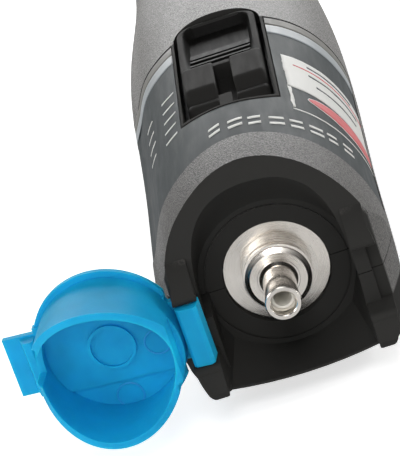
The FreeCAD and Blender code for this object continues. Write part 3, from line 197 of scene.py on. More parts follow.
@dataclass(frozen=True)
class SparkPlastic(Finish):
    """Moulded shell plastic: spark-eroded grain outside, smooth and black elsewhere.

    The grain lies on faces that look away from the Y axis: the outward share of the normal
    is (x nx + z nz) / sqrt(x^2 + z^2). It ends where the ears begin.
    """

    grain_per_metre: float = 4200.0
    grain_depth: float = 0.00014
    smooth_colour: tuple[float, float, float, float] = (0.0290, 0.0285, 0.0270, 1.0)
    ears_from: float = -0.0090
    low_ear_top: float = -0.0044
    low_ear_back: float = -0.0010
    opening_half: float = 0.0074
    opening: tuple[float, float] = (0.0155, 0.0555)
    tail_from: float = 0.12
    nose_gloss: float = 0.40
    rear_gloss: float = 0.78

    def grained(self, g: Graph):
        """The share of grain: 1 outside, 0 in the nose, on the ears and round the opening."""
        x, y, z = g.split(g.place())
        nx, ny, nz = g.split(g.facing())
        reach = g.math("SQRT", g.math("ADD", g.math("MULTIPLY", x, x), g.math("MULTIPLY", z, z)))
        out = g.math("ADD", g.math("MULTIPLY", x, nx), g.math("MULTIPLY", z, nz))
        out = g.math("DIVIDE", out, reach)
        skin = g.math("MULTIPLY", g.spread(out, 0.50, 0.66, 0.0, 1.0, True),
                      g.spread(y, self.ears_from, self.ears_from + 0.0008, 0.0, 1.0, True))
        low_ear = g.math(
            "MULTIPLY", g.spread(z, self.low_ear_top - 0.0004, self.low_ear_top, 1.0, 0.0),
            g.spread(y, self.low_ear_back - 0.0005, self.low_ear_back, 1.0, 0.0))
        skin = g.math("MULTIPLY", skin, g.math("SUBTRACT", 1.0, low_ear))
        beside = g.spread(g.math("ABSOLUTE", x), self.opening_half,
                          self.opening_half + 0.0002, 0.0, 1.0)
        front, back = self.opening
        beyond = g.math("MAXIMUM", g.spread(y, back, back + 0.0005, 0.0, 1.0),
                        g.spread(y, front - 0.0005, front, 1.0, 0.0))
        skin = g.math("MULTIPLY", skin, g.math("MAXIMUM", beside, beyond))
        tail = g.spread(ny, 0.10, 0.30, 0.0, 1.0, True)
        end = g.spread(y, self.tail_from, self.tail_from + 0.002, 0.0, 1.0)
        return g.math("MAXIMUM", skin, g.math("MULTIPLY", tail, end))

    def draw(self, g: Graph) -> None:
        """Draw coarse grain over fine grain, masked off where the plastic is smooth."""
        here = g.place()
        grained = self.grained(g)
        coarse = g.noise(here, self.grain_per_metre, 1.0, 0.5)
        fine = g.noise(here, self.grain_per_metre * 2.3, 1.0, 0.5)
        height = g.math("ADD", g.math("MULTIPLY", coarse, 0.7), g.math("MULTIPLY", fine, 0.3))
        soft = g.noise(here, 1500.0, 2.0)
        relief = g.math("ADD", g.math("MULTIPLY", height, grained), g.math("MULTIPLY", soft, 0.04))
        wide = g.noise(here, 60.0, 2.0)
        gloss = g.spread(g.split(here)[1], 0.0150, 0.0500, self.nose_gloss, self.rear_gloss)
        dark = tuple(0.40 * c for c in self.colour[:3]) + (1.0,)
        pale = tuple(1.9 * c for c in self.colour[:3]) + (1.0,)
        speck = g.spread(coarse, 0.40, 0.62, 0.0, 1.0)
        outside = g.blend(speck, dark, pale)
        velvet = g.math("MULTIPLY", grained, g.spread(speck, 0.0, 1.0, 0.06, 0.42))
        velvet = g.math("MULTIPLY", velvet, gloss)
        rough = g.math("ADD", g.spread(grained, 0.0, 1.0, 0.60, self.roughness),
                       g.spread(wide, 0.3, 0.7, -0.03, 0.03))
        g.surface(Base_Color=g.blend(grained, self.smooth_colour, outside), Roughness=rough,
                  Specular_IOR_Level=g.math("MULTIPLY", gloss,
                                            g.spread(grained, 0.0, 1.0, 0.05, 0.85)),
                  Sheen_Weight=velvet, Sheen_Roughness=0.4,
                  Sheen_Tint=(0.95, 0.93, 0.9, 1.0),
                  Normal=g.bump(relief, self.grain_depth))


@dataclass(frozen=True)
class SatinPlastic(Finish):
    """Smooth moulded plastic with faint flow marks and small scuffs."""

    scuff: float = 0.5
    shine: float = 0.5

    def draw(self, g: Graph) -> None:
        """Draw the scuffs as stretched noise in roughness and a faint relief."""
        here = g.place()
        x, y, z = g.split(here)
        streak = g.noise(g.join(x, g.math("MULTIPLY", y, 0.15), z), 900.0, 3.0, 0.6)
        fine = g.noise(here, 4200.0, 2.0)
        worn = g.spread(streak, 0.55, 0.75, 0.0, self.scuff)
        pale = tuple(min(1.0, 1.25 * c + 0.01) for c in self.colour[:3]) + (1.0,)
        g.surface(Base_Color=g.blend(worn, self.colour, pale), Specular_IOR_Level=self.shine,
                  Roughness=g.spread(streak, 0.3, 0.8, self.roughness - 0.05,
                                     self.roughness + 0.10),
                  Normal=g.bump(g.math("ADD", g.math("MULTIPLY", streak, 0.6),
                                       g.math("MULTIPLY", fine, 0.4)), 0.000012))


@dataclass(frozen=True)
class CapPlastic(Finish):
    """Blue polypropylene: light goes a little way in, and thin edges glow."""

    depth: float = 0.0022

    def draw(self, g: Graph) -> None:
        """Draw the scattering body under a soft gloss with slight waviness."""
        here = g.place()
        wave = g.noise(here, 170.0, 2.0)
        fine = g.noise(here, 2600.0, 2.0)
        deep = tuple(0.84 * c for c in self.colour[:3]) + (1.0,)
        g.surface(Base_Color=g.blend(g.spread(wave, 0.3, 0.7, 0.0, 1.0), deep, self.colour),
                  Subsurface_Weight=0.6, Subsurface_Scale=self.depth, Specular_IOR_Level=0.2,
                  Subsurface_Radius=(0.25, 0.8, 1.0),
                  Roughness=g.spread(fine, 0.3, 0.7, self.roughness - 0.04,
                                     self.roughness + 0.05),
                  Normal=g.bump(g.math("ADD", g.math("MULTIPLY", wave, 0.8),
                                       g.math("MULTIPLY", fine, 0.06)), 0.00008, 0.6))


class Lay(Enum):
    """Which way a metal part's tool marks run."""

    TURNED = "turned"
    DRAWN = "drawn"


@dataclass(frozen=True)
class ToolMarkedMetal(Finish):
    """Machined metal with tool marks round the Y axis, or along it."""

    lay: Lay = Lay.TURNED
    marks_per_metre: float = 5200.0
    depth: float = 0.000006
    tarnish: float = 0.12

    def draw(self, g: Graph) -> None:
        """Draw rings as noise of radius and station, which turns with neither."""
        here = g.place()
        x, y, z = g.split(here)
        radius = g.math("SQRT", g.math("ADD", g.math("MULTIPLY", x, x),
                                       g.math("MULTIPLY", z, z)))
        if self.lay is Lay.TURNED:
            along = g.join(radius, y, 0.0)
        else:
            along = g.join(x, g.math("MULTIPLY", y, 0.05), z)
        marks = g.noise(along, self.marks_per_metre, 3.0, 0.6)
        haze = g.noise(here, 260.0, 3.0)
        dull = tuple((1.0 - self.tarnish) * c for c in self.colour[:3]) + (1.0,)
        rough = g.math("ADD", g.spread(marks, 0.3, 0.7, self.roughness - 0.06,
                                       self.roughness + 0.06),
                       g.spread(haze, 0.35, 0.7, -0.02, 0.06))
        tangent = g.add("ShaderNodeTangent", direction_type="RADIAL", axis="Y").outputs[0]
        g.surface(Base_Color=g.blend(g.spread(haze, 0.3, 0.7, 0.0, 1.0), self.colour, dull),
                  Metallic=1.0, Roughness=rough, Tangent=tangent,
                  Anisotropic=0.75 if self.lay is Lay.TURNED else 0.0,
                  Normal=g.bump(marks, self.depth))


@dataclass(frozen=True)
class LensGlass(Finish):
    """Clear glass with a faint coating."""

    def draw(self, g: Graph) -> None:
        """Draw glass that lets most light through."""
        here = g.place()
        faint = g.noise(here, 900.0, 2.0)
        g.surface(Base_Color=self.colour, Transmission_Weight=0.9, IOR=1.5,
                  Roughness=g.spread(faint, 0.3, 0.7, 0.02, 0.05),
                  Normal=g.bump(faint, 0.000002))


SHELL = SparkPlastic("shell_spark", (0.046, 0.044, 0.041, 1.0), 0.44)
LABEL = SatinPlastic("label_slate", linear(66, 71, 73), 0.52, 0.08, 0.10)
BUTTON = SatinPlastic("button_black", (0.0230, 0.0225, 0.0215, 1.0), 0.56, 0.06, 0.03)
# Painted shade: a darker copy of the button's black, laid on the faces of the scooped dish
SCOOP_PAINTED_SHADE = SatinPlastic("button_scoop_painted_shade", (0.0060, 0.0058, 0.0055, 1.0), 0.52, 0.05, 0.05)
CARRIER = SatinPlastic("carrier_black", (0.010, 0.010, 0.010, 1.0), 0.5, 0.3)
CAP = CapPlastic("cap_blue", (0.005, 0.37, 0.66, 1.0), 0.58)
CAP_MARK = SatinPlastic("cap_mark", linear(30, 150, 208), 0.45, 0.1, 0.3)
STEEL = ToolMarkedMetal("port_steel", (0.78, 0.74, 0.69, 1.0), 0.24)
NOZZLE = ToolMarkedMetal("nozzle_steel", (0.80, 0.76, 0.71, 1.0), 0.17, Lay.TURNED,
                         3600.0, 0.000003)
SLEEVE = SatinPlastic("sleeve_ceramic", (0.60, 0.58, 0.52, 1.0), 0.32, 0.2)
BRASS = ToolMarkedMetal("barrel_brass", (0.72, 0.55, 0.26, 1.0), 0.28)
GOLD = ToolMarkedMetal("diode_gold", (0.80, 0.62, 0.30, 1.0), 0.25)
GLASS = LensGlass("lens_glass", (0.90, 0.96, 0.95, 1.0), 0.04)
LAMINATE = SatinPlastic("board_green", (0.012, 0.085, 0.030, 1.0), 0.38, 0.5)
CHIP = SatinPlastic("chip_black", (0.018, 0.018, 0.019, 1.0), 0.55, 0.4)
TRIMMER = SatinPlastic("trimmer_blue", (0.02, 0.06, 0.24, 1.0), 0.4, 0.4)
CAN = ToolMarkedMetal("can_aluminium", (0.72, 0.73, 0.74, 1.0), 0.3)
JACKET = SatinPlastic("cell_jacket", (0.05, 0.055, 0.06, 1.0), 0.3, 0.6)
NICKEL = ToolMarkedMetal("contact_nickel", (0.66, 0.65, 0.62, 1.0), 0.22, Lay.DRAWN)
BLACKED = ToolMarkedMetal("screw_black", (0.16, 0.16, 0.165, 1.0), 0.35)
INK_WHITE = SatinPlastic("ink_white", linear(214, 214, 210), 0.5, 0.2)
INK_GREY = SatinPlastic("ink_grey", linear(150, 156, 160), 0.45, 0.2)
INK_RED = SatinPlastic("ink_red", linear(206, 92, 96), 0.5, 0.2)
INK_MARGIN = SatinPlastic("ink_margin", linear(112, 111, 106), 0.5, 0.2, 0.3)
INK_DARK = SatinPlastic("ink_dark", linear(70, 74, 76), 0.5, 0.2)

NODE_FINISHES = {
    "upper_shell": SHELL, "lower_shell": SHELL, "battery_door": SHELL,
    "face_label": LABEL, "slide_button": BUTTON, "slide_carrier": CARRIER,
    "port_flange": STEEL, "port_nozzle": NOZZLE, "ferrule_sleeve": SLEEVE,
    "port_nut": BRASS, "laser_housing": BRASS, "focus_lens": GLASS, "lens_retainer": BRASS,
    "diode_mount": BRASS, "laser_diode": GOLD, "diode_board": LAMINATE,
    "circuit_board": LAMINATE, "driver_chip": CHIP, "power_trimmer": TRIMMER,
    "board_capacitor": CAN, "slide_switch": NICKEL, "switch_lever": CHIP,
    "battery_cell_left": JACKET, "battery_cell_right": JACKET, "plate_contact": NICKEL,
    "spring_contact": NICKEL, "bridge_contact": NICKEL, "door_screw": BLACKED,
    "case_screws": BLACKED, "dust_cap": CAP, "hinge_pin": NICKEL,
}


def dress_frame(frame: dict) -> None:
    """Give every CAD node its procedural finish."""
    for name, obj in frame["nodes"].items():
        made = NODE_FINISHES[name].material()
        for slot in obj.material_slots:
            slot.material = made
    log("dressed %d frame nodes" % len(frame["nodes"]))


# ---------------------------------------------------------------- printed label

@dataclass
class PrintedField:
    """One flat field of ink on the label, between two stations and two angles.

    Angles are in degrees about the port's axis, from the top towards the latch side.
    """

    name: str
    front: float
    back: float
    left: float
    right: float
    ink: Finish
    lean: float = 0.0
    rounded: bool = False
    lift: float = 0.03 * MM
    drum: float = 24.0

    def grid(self) -> tuple[np.ndarray, tuple[int, int]]:
        """Points of the field on a drum just outside the label.

        A rounded field is an ellipse: its half-length at each share u of the width is
        sqrt(1 - (2u - 1)^2). Lean shifts a station with its angle.
        """
        wide = max(4, int(abs(self.right - self.left) / 3.0) + 2)
        long = max(3, int((self.back - self.front) / 0.8) + 2)
        u, v = np.meshgrid(np.linspace(0.0, 1.0, wide), np.linspace(0.0, 1.0, long))
        if self.rounded:
            u = (1.0 - np.cos(u * math.pi)) / 2.0
            half = np.sqrt(np.clip(1.0 - (2.0 * u - 1.0) ** 2, 0.0004, 1.0))
            v = 0.5 + (v - 0.5) * half
        angle = np.radians(self.left + (self.right - self.left) * u)
        station = self.front + (self.back - self.front) * v + self.lean * (u - 0.5)
        points = np.stack([self.drum * np.sin(angle), station, self.drum * np.cos(angle)],
                          axis=-1)
        return points.reshape(-1, 3) * MM, (long, wide)


def quads(rows: int, columns: int) -> np.ndarray:
    """Corner numbers of the faces of a rows by columns grid."""
    low = np.arange(rows * columns).reshape(rows, columns)
    corners = [low[:-1, :-1], low[:-1, 1:], low[1:, 1:], low[1:, :-1]]
    return np.stack(corners, axis=-1).reshape(-1, 4)


def ease(share: np.ndarray) -> np.ndarray:
    """A share that starts and ends level: s^2 (3 - 2 s)."""
    return share ** 2 * (3.0 - 2.0 * share)


def rounding(share: np.ndarray) -> np.ndarray:
    """The drop of a quarter round at a share of its width: 1 - sqrt(1 - s^2)."""
    return 1.0 - np.sqrt(1.0 - share ** 2)


def grid_mesh(name: str, points: np.ndarray, faces: np.ndarray) -> bpy.types.Object:
    """A mesh object from whole arrays of points and four-cornered faces."""
    mesh = bpy.data.meshes.new(name)
    mesh.vertices.add(len(points))
    mesh.vertices.foreach_set("co", points.ravel())
    mesh.loops.add(faces.size)
    mesh.loops.foreach_set("vertex_index", faces.ravel())
    mesh.polygons.add(len(faces))
    mesh.polygons.foreach_set("loop_start", np.arange(0, faces.size, 4))
    mesh.update(calc_edges=True)
    mesh.validate()
    obj = bpy.data.objects.new(name, mesh)
    bpy.context.scene.collection.objects.link(obj)
    return obj


def apply_modifiers(obj: bpy.types.Object) -> None:
    """Bake an object's modifiers into its mesh."""
    graph = bpy.context.evaluated_depsgraph_get()
    baked = bpy.data.meshes.new_from_object(obj.evaluated_get(graph))
    obj.modifiers.clear()
    obj.data = baked


@dataclass
class LabelPrint:
    """The label's ink: stripes, a two-part panel and rows of plain bars."""

    stripe: tuple[float, float] = (48.3, 52.1)
    stripe_inner: float = 25.6
    foot: float = 85.0
    rear: float = 55.4
    panel: tuple[float, float, float] = (15.9, 24.7, 38.7)
    panel_left: float = 31.0
    outline: float = 0.45
    film_share: float = 1.4
    bar_row: tuple[float, float] = (6.8, 9.7)
    bar_widths: tuple[float, ...] = (5.6, 7.2, 6.0, 6.8, 6.4, 7.2, 5.6, 6.6)
    bar_start: float = -11.0
    bar_pitch: float = 9.6
    bar_sag: float = 0.00096
    bar_middle: float = 5.0
    stroke: float = 0.8
    side_rows: tuple[tuple, ...] = (("side_bar", 5, 36.6, 4.2, 0.55, -37.0, -28.5),
                                    ("low_bar", 4, 37.6, 4.4, 0.5, -57.0, -47.5))
    text_lines: tuple[tuple[float, float], ...] = ((44.0, 30.0), (44.0, 34.0), (48.0, 28.0))

    def fields(self) -> list[PrintedField]:
        """Every field, from the driving sizes."""
        low, middle, high = self.panel
        left, line = self.panel_left, self.outline
        edge = math.degrees(line / 17.5)
        return [
            PrintedField("stripe_right", *self.stripe, self.stripe_inner, self.foot, INK_GREY),
            PrintedField("stripe_left", *self.stripe, -self.foot, -self.stripe_inner, INK_GREY),
            PrintedField("margin_right", self.stripe[1] + 0.15, self.rear, self.stripe_inner,
                         self.foot, INK_MARGIN),
            PrintedField("margin_left", self.stripe[1] + 0.15, self.rear, -self.foot,
                         -self.stripe_inner, INK_MARGIN),
            PrintedField("panel_plate", middle, high, left, self.foot, INK_WHITE, lean=-0.4),
            PrintedField("panel_rule", high - 3.6, high - 3.25, left + 5, self.foot, INK_RED,
                         lift=0.05 * MM),
            PrintedField("panel_edge", low, middle, left, left + edge, INK_WHITE),
            PrintedField("panel_base", low, low + line, left, self.foot, INK_WHITE, lean=2.0),
            PrintedField("badge_rim", middle - 5.4, middle - 0.4, left + 9.0, self.foot + 14.0,
                         INK_WHITE, rounded=True),
            PrintedField("badge", middle - 5.1, middle - 0.7, left + 10.2, self.foot + 13.0,
                         INK_RED, rounded=True, lift=0.05 * MM),
        ] + self.bars()

    def bars(self) -> list[PrintedField]:
        """Plain bars where the real one has lettering."""
        low, high = self.bar_row
        made = []
        for k, wide in enumerate(self.bar_widths):
            turn = self.bar_start + self.bar_pitch * k
            shift = self.bar_sag * (turn - self.bar_middle) ** 2
            for side, start in (("low", low + shift), ("high", high + shift - self.stroke)):
                made.append(PrintedField("front_%s_%d" % (side, k), start, start + self.stroke,
                                         turn, turn + wide, INK_WHITE, lean=0.5))
        for name, count, rear, pitch, thick, left, right in self.side_rows:
            for k in range(count):
                back = rear - pitch * k
                made.append(PrintedField("%s_%d" % (name, k), back - thick, back, left, right,
                                         INK_WHITE, lean=-0.6))
        for k, (turn, run) in enumerate(self.text_lines):
            back = self.panel[2] - 1.6 - 3.6 * k
            made.append(PrintedField("text_line_%d" % k, back - 0.5, back, turn, turn + run,
                                     INK_DARK, lift=0.05 * MM))
        return made

    def build(self, label: bpy.types.Object, body: str) -> None:
        """Wrap each field onto the label and close it into a thin film."""
        fields = self.fields()
        for item in fields:
            points, shape = item.grid()
            obj = grid_mesh("ink_" + item.name, points, quads(*shape)[:, ::-1])
            wrap = obj.modifiers.new("wrap", "SHRINKWRAP")
            wrap.target = label
            wrap.wrap_method = "NEAREST_SURFACEPOINT"
            wrap.wrap_mode = "OUTSIDE_SURFACE"
            wrap.offset = item.lift
            film = obj.modifiers.new("film", "SOLIDIFY")
            film.thickness = item.lift * self.film_share
            film.offset = -1.0
            apply_modifiers(obj)
            obj.data.materials.append(item.ink.material())
            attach(obj, body)
        log("printed %d fields on the label" % len(fields))


# ---------------------------------------------------------------- slide button

@dataclass
class SlideButton:
    """The thumb slide's skin: two soft grip pads, three straight ribs and a scooped rear.

    It is one height field over the button's plan, closed with walls and a flat underside.
    All sizes are in millimetres; each height is measured from the port's axis.
    """

    half_width: float = 6.2
    front: float = 23.4
    pad_start: float = 30.2
    pad_rear: float = 38.5
    arch: float = 55.0
    back: float = 59.5
    foot: float = 12.4
    pad_foot: float = 13.7
    pad_bulge: float = 16.45
    bulge_share: float = 0.36
    climb_share: float = 0.46
    dip: tuple[float, float, float] = (0.20, 0.50, 0.09)
    pad_top: float = 17.5
    rim: float = 17.1
    tail_rim: float = 16.1
    scoop: float = 1.75
    rim_width: float = 0.75
    scoop_wall: float = 0.9
    scoop_start: float = 0.2
    scoop_slope: float = 1.5
    notch_half: float = 1.3
    notch_floor: float = 14.85
    notch_step: tuple[float, float] = (1.2, 13.9)
    notch_rear: float = 37.0
    rib_half: float = 4.7
    rib_rise: float = 0.35
    ribs: tuple[tuple[float, float], ...] = ((40.3, 41.3), (43.2, 44.3), (45.4, 48.2))
    plan_power: float = 2.9
    even_rows: tuple[tuple[float, float, int], ...] = (
        (31.0, 36.6, 5), (37.4, 41.9, 10), (46.6, 47.6, 2), (48.8, 54.4, 9))

    def stations(self) -> np.ndarray:
        """Rows from front to back, doubled where the height steps."""
        edges = [self.notch_rear, self.pad_rear] + [e for rib in self.ribs for e in rib]
        steps = np.concatenate([[e - 0.05, e + 0.05] for e in edges])
        tail = self.arch + (self.back - 0.02 - self.arch) * np.sin(np.linspace(0, math.pi / 2, 16))
        even = [np.linspace(low, high, count) for low, high, count in self.even_rows]
        rows = np.concatenate([np.linspace(self.front, self.pad_start + 0.3, 52), steps, tail]
                              + even)
        return np.unique(np.round(rows, 4))

    def columns(self) -> np.ndarray:
        """Shares of the half-width, doubled at the notch's walls and the ribs' ends."""
        right = np.concatenate([
            [0.0, 0.6, 1.1, self.notch_half - 0.02, self.notch_half + 0.02],
            np.linspace(1.42, 1.8, 4), np.linspace(2.3, 4.4, 6),
            [self.rib_half - 0.04, self.rib_half + 0.04],
            self.half_width - 1.25 * (1.0 - np.sin(np.linspace(0.0, math.pi / 2, 16)))])
        right = np.unique(np.round(right, 4))
        return np.concatenate([-right[:0:-1], right]) / self.half_width

    def half_plan(self, y: np.ndarray) -> np.ndarray:
        """Half-width at a station: full, then w (1 - s^p)^(1 / p) round the back."""
        share = np.clip((y - self.arch) / (self.back - self.arch), 0.0, 1.0)
        return self.half_width * (1.0 - share ** self.plan_power) ** (1.0 / self.plan_power)

    def pads(self, x: np.ndarray, y: np.ndarray) -> np.ndarray:
        """Pad height: a round bulge in front, a dip, then a flat top with softened edges."""
        along = np.clip((y - self.front) / (self.pad_start - self.front), 0.0, 1.0)
        ahead = np.clip(1.0 - along / self.bulge_share, 0.0, 1.0)
        bulge = self.pad_foot + (self.pad_bulge - self.pad_foot) * np.sqrt(1.0 - ahead ** 2)
        climb = np.clip((along - self.climb_share) / (1.0 - self.climb_share), 0.0, 1.0)
        rise = (self.pad_top - self.pad_bulge) * ease(climb)
        depth, centre, spread = self.dip
        dip = depth * np.exp(-((along - centre) / spread) ** 2)
        side = np.clip(1.0 - (self.half_width - np.abs(x)) / 0.9, 0.0, 1.0)
        inner = np.clip(1.0 - (np.abs(x) - self.notch_half) / 0.45, 0.0, 1.0)
        rear = np.clip(1.0 - (self.pad_rear - y) / 0.5, 0.0, 1.0)
        soft = 0.75 * rounding(side) + 0.3 * rounding(inner) + 0.3 * rounding(rear)
        return bulge + rise - dip - soft

    def rear_top(self, x: np.ndarray, y: np.ndarray) -> np.ndarray:
        """Rear height: a narrow rim round a scoop that is deepest behind the ribs."""
        part = np.clip((y - self.pad_rear) / (self.back - self.pad_rear), 0.0, 1.0)
        rim = self.rim + (self.tail_rim - self.rim) * part
        inset = np.minimum(self.half_plan(y) - np.abs(x), 1.15 * (self.back - y))
        wall = ease(np.clip((inset - self.rim_width) / self.scoop_wall, 0.0, 1.0))
        bowl = np.clip(self.scoop_start + self.scoop_slope * part, self.scoop_start, 1.0)
        ribbed = np.zeros_like(x)
        for low, high in self.ribs:
            inside = (y > low) & (y < high) & (np.abs(x) < self.rib_half)
            ribbed = np.where(inside, self.rib_rise, ribbed)
        edge = np.clip(1.0 - inset / 0.3, 0.0, 1.0)
        return rim - self.scoop * bowl * wall + ribbed - 0.15 * edge ** 2

    def top(self) -> tuple[np.ndarray, np.ndarray, np.ndarray]:
        """The top face as grids of x, y and z."""
        y, share = np.meshgrid(self.stations(), self.columns(), indexing="ij")
        x = share * self.half_plan(y)
        z = np.where(y < self.pad_rear, self.pads(x, y), self.rear_top(x, y))
        notch = np.abs(x) < self.notch_half
        z = np.where(notch & (y < self.notch_rear), self.notch_floor, z)
        reach, height = self.notch_step
        return x, y, np.where(notch & (y < self.front + reach), height, z)

    def closed(self, rows: int, columns: int) -> np.ndarray:
        """Faces of the top, then of the underside, then of the walls between them."""
        number = np.arange(rows * columns).reshape(rows, columns)
        loop = np.concatenate([number[0, :-1], number[:-1, -1], number[-1, :0:-1],
                               number[:0:-1, 0]])
        after = np.roll(loop, -1)
        drop = rows * columns
        walls = np.stack([loop, loop + drop, after + drop, after], axis=-1)
        top = quads(rows, columns)
        return np.concatenate([top, top[:, ::-1] + drop, walls])

    def in_scoop(self, x: np.ndarray, y: np.ndarray, faces: np.ndarray) -> np.ndarray:
        """Which faces of the top lie within the scoop, the ones that carry the painted shade."""
        x, y = x.reshape(-1)[faces].mean(axis=1), y.reshape(-1)[faces].mean(axis=1)
        inset = np.minimum(self.half_plan(y) - np.abs(x), self.back - y)
        return (y > self.pad_rear) & (inset > self.rim_width + 0.15)

    def build(self, body: str) -> None:
        """Make the closed mesh, let it stand for the plain solid and ride with the slide."""
        x, y, z = self.top()
        upper = np.stack([x, y, z], axis=-1).reshape(-1, 3)
        under = np.stack([x, y, np.full_like(x, self.foot)], axis=-1).reshape(-1, 3)
        faces = self.closed(*y.shape)
        obj = grid_mesh("slide_button_skin", np.concatenate([upper, under]) * MM, faces)
        obj.data.shade_smooth()
        obj.data.set_sharp_from_angle(angle=math.radians(38.0))
        # Faces in the scoop take the darker copy: painted shade in the dish
        for finish in (BUTTON, SCOOP_PAINTED_SHADE):
            obj.data.materials.append(finish.material())
        count = len(quads(*y.shape))
        slots = np.zeros(len(faces), dtype=np.int32)
        slots[:count] = self.in_scoop(x, y, faces[:count])
        obj.data.polygons.foreach_set("material_index", slots)
        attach(obj, body)
        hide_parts("slide_button")
        log("built the slide button's skin")


# ---------------------------------------------------------------- dust cap marks

@dataclass
class CapMarks:
    """Shallow round mould marks inside the dust cap, as fine beads on its lid.

    The cap is modelled shut and swung open about its pin, so each place is given on the shut
    cap and turned by the same angle.
    """

    pin: tuple[float, float] = (-12.3, -10.8)
    swing: float = -189.5
    lid_face: float = -12.30
    strap_face: float = -11.80
    height: float = 0.09
    steps: int = 64
    marks: tuple[tuple[str, float, float, float, bool], ...] = (
        ("gate", 0.0, -8.1, 1.95, False), ("ejector", -6.3, -0.9, 1.9, True))

    def ring(self, x: float, y: float, z: float, radius: float) -> np.ndarray:
        """Points of a low round bead: a closed loop of section turned about the mark's axis."""
        turn = np.linspace(0.0, 2.0 * math.pi, self.steps, endpoint=False)
        full, part = self.height, 0.4 * self.height
        section = [(0.06, -0.05), (0.04, part), (-0.04, full), (-0.14, full), (-0.22, part),
                   (-0.24, -0.05)]
        return np.concatenate([
            np.stack([x + (radius + out) * np.cos(turn), np.full(self.steps, y + up),
                      z + (radius + out) * np.sin(turn)], axis=-1) for out, up in section])

    def opened(self, points: np.ndarray) -> np.ndarray:
        """Turn points of the shut cap about the pin into its open place, in metres."""
        angle = math.radians(self.swing)
        dx, dy = points[:, 0] - self.pin[0], points[:, 1] - self.pin[1]
        turned = np.stack([self.pin[0] + dx * math.cos(angle) - dy * math.sin(angle),
                           self.pin[1] + dx * math.sin(angle) + dy * math.cos(angle),
                           points[:, 2]], axis=-1)
        return turned * MM

    def build(self, body: str) -> None:
        """Make each mark as a closed bead in the cap's blue."""
        for name, x, z, radius, on_strap in self.marks:
            face = self.strap_face if on_strap else self.lid_face
            points = self.opened(self.ring(x, face, z, radius))
            low = np.arange(len(points)).reshape(-1, self.steps)
            low = np.vstack([low, low[:1]])
            side = np.roll(low, -1, axis=1)
            faces = np.stack([low[:-1], side[:-1], side[1:], low[1:]], axis=-1).reshape(-1, 4)
            obj = grid_mesh("cap_mark_" + name, points, faces)
            obj.data.shade_smooth()
            obj.data.materials.append(CAP_MARK.material())
            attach(obj, body)
        log("added %d mould marks to the cap" % len(self.marks))


# ---------------------------------------------------------------- studio

@dataclass(frozen=True)
class SoftLight:
    """One rectangular studio light that faces the object."""

    name: str
    azimuth: float
    elevation: float
    distance: float
    width: float
    height: float
    watts: float

    def hang(self, target: Vector) -> None:
        """Place the light round the target and aim it there."""
        lamp = bpy.data.lights.new(self.name, "AREA")
        lamp.shape = "RECTANGLE"
        lamp.size, lamp.size_y = self.width, self.height
        lamp.energy = self.watts
        obj = bpy.data.objects.new(self.name, lamp)
        bpy.context.scene.collection.objects.link(obj)
        a, e = math.radians(self.azimuth), math.radians(self.elevation)
        away = Vector((math.sin(a) * math.cos(e), -math.cos(a) * math.cos(e), math.sin(e)))
        obj.location = target + away * self.distance
        obj.rotation_euler = (-away).to_track_quat("-Z", "Y").to_euler()


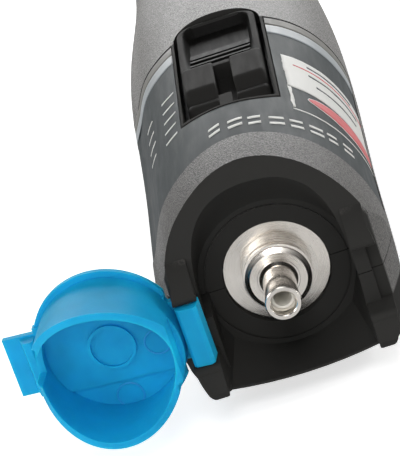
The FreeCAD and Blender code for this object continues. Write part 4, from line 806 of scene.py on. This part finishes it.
@dataclass
class Studio:
    """The pale floor, the soft lights, the surrounding tone and the camera."""

    camera_azimuth: float = 4.458
    camera_elevation: float = 23.792
    camera_roll: float = 19.473
    camera_distance: float = 0.4144
    aim_right: float = -0.01060
    aim_down: float = -0.00566
    lens_mm: float = 236.86
    floor_half: float = 3.0
    floor_gap: float = 0.0002
    floor_glow: float = 0.62
    room_strength: float = 0.35
    target: tuple[float, float, float] = (0.0, 0.03, 0.0)
    lights: list[SoftLight] = field(default_factory=lambda: [
        SoftLight("top_box", 10.0, 66.0, 0.80, 0.40, 0.30, 0.9),
        SoftLight("back_box", 174.0, 15.0, 0.80, 0.90, 0.26, 4.6),
        SoftLight("left_box", -72.0, 18.0, 0.70, 0.30, 0.50, 1.9),
        SoftLight("right_box", 84.0, 14.0, 0.70, 0.25, 0.50, 1.6),
        SoftLight("front_box", -14.0, 12.0, 0.90, 0.60, 0.25, 1.7),
        SoftLight("front_high_box", 4.0, 42.0, 0.90, 0.34, 0.24, 2.2),
    ])

    def camera(self) -> None:
        """Stand the camera at the photograph's angle.

        The camera looks along -d with d = (sin a cos e, -cos a cos e, sin e). Its right and
        down axes are turned by the roll, and the aim point is the frame's origin moved along
        those two axes.
        """
        a, e, roll = (math.radians(v) for v in
                      (self.camera_azimuth, self.camera_elevation, self.camera_roll))
        away = Vector((math.sin(a) * math.cos(e), -math.cos(a) * math.cos(e), math.sin(e)))
        level = (-away).cross(Vector((0, 0, 1))).normalized()
        plumb = (-away).cross(level)
        right = level * math.cos(roll) + plumb * math.sin(roll)
        down = plumb * math.cos(roll) - level * math.sin(roll)
        data = bpy.data.cameras.new("camera")
        data.lens = self.lens_mm
        data.clip_start, data.clip_end = 0.01, 20.0
        obj = bpy.data.objects.new("camera", data)
        bpy.context.scene.collection.objects.link(obj)
        spot = right * self.aim_right + down * self.aim_down + away * self.camera_distance
        turn = Matrix((right, -down, away)).transposed().to_4x4()
        obj.matrix_world = Matrix.Translation(spot) @ turn
        bpy.context.scene.camera = obj

    def floor(self, height: float) -> None:
        """A wide pale floor just under the object; the camera sees it near white."""
        half = self.floor_half
        corners = np.array([(-half, -half, height), (half, -half, height),
                            (half, half, height), (-half, half, height)])
        obj = grid_mesh("floor", corners, np.array([[0, 1, 2, 3]]))
        made = bpy.data.materials.new("floor_paper")
        g = Graph(made)
        paper = g.add("ShaderNodeBsdfDiffuse")
        tone = g.noise(g.place(), 3.0, 2.0)
        g.feed(paper.inputs["Color"], g.blend(tone, (0.93, 0.93, 0.93, 1), (0.95, 0.95, 0.95, 1)))
        glow = g.add("ShaderNodeEmission")
        glow.inputs["Color"].default_value = (1.0, 1.0, 1.0, 1.0)
        seen = g.add("ShaderNodeLightPath").outputs["Is Camera Ray"]
        g.feed(glow.inputs["Strength"], g.math("MULTIPLY", seen, self.floor_glow))
        total = g.add("ShaderNodeAddShader")
        g.feed(total.inputs[0], paper.outputs[0])
        g.feed(total.inputs[1], glow.outputs[0])
        out = g.add("ShaderNodeOutputMaterial")
        g.feed(out.inputs[0], total.outputs[0])
        obj.data.materials.append(made)
        obj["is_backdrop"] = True

    def surround(self) -> None:
        """The room: pale along the horizon and dim overhead, as a tent of cloth would be."""
        world = bpy.data.worlds.new("room")
        bpy.context.scene.world = world
        g = Graph(world)
        direction = g.add("ShaderNodeTexCoord").outputs["Generated"]
        up = g.split(direction)[2]
        share = g.spread(up, 0.15, 0.75, 0.0, 1.0, True)
        tone = g.blend(share, (1.0, 0.99, 0.97, 1.0), (0.22, 0.21, 0.20, 1.0))
        back = g.add("ShaderNodeBackground")
        g.feed(back.inputs["Color"], tone)
        back.inputs["Strength"].default_value = self.room_strength
        out = g.add("ShaderNodeOutputWorld")
        g.feed(out.inputs[0], back.outputs[0])

    def build(self, low: Vector) -> None:
        """Set everything above the lowest corner of the object's box."""
        self.camera()
        self.floor(low.z - self.floor_gap)
        self.surround()
        for light in self.lights:
            light.hang(Vector(self.target))
        bpy.context.scene.view_settings.view_transform = "Standard"
        log("studio ready")


def main(frame: dict) -> None:
    """Dress the frame, print the label and light the studio."""
    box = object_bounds()
    dress_frame(frame)
    LabelPrint().build(frame["nodes"]["face_label"], "handset")
    SlideButton().build("slider")
    CapMarks().build("cap")
    Studio().build(Vector(box[0]))


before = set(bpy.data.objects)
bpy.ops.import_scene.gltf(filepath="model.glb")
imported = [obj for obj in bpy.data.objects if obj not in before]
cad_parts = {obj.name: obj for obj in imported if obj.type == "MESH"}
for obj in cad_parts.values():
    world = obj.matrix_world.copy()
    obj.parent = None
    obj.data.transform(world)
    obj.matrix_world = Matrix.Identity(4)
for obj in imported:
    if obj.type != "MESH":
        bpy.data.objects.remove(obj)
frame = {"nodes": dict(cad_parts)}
if __name__ == "__main__":
    main(frame)
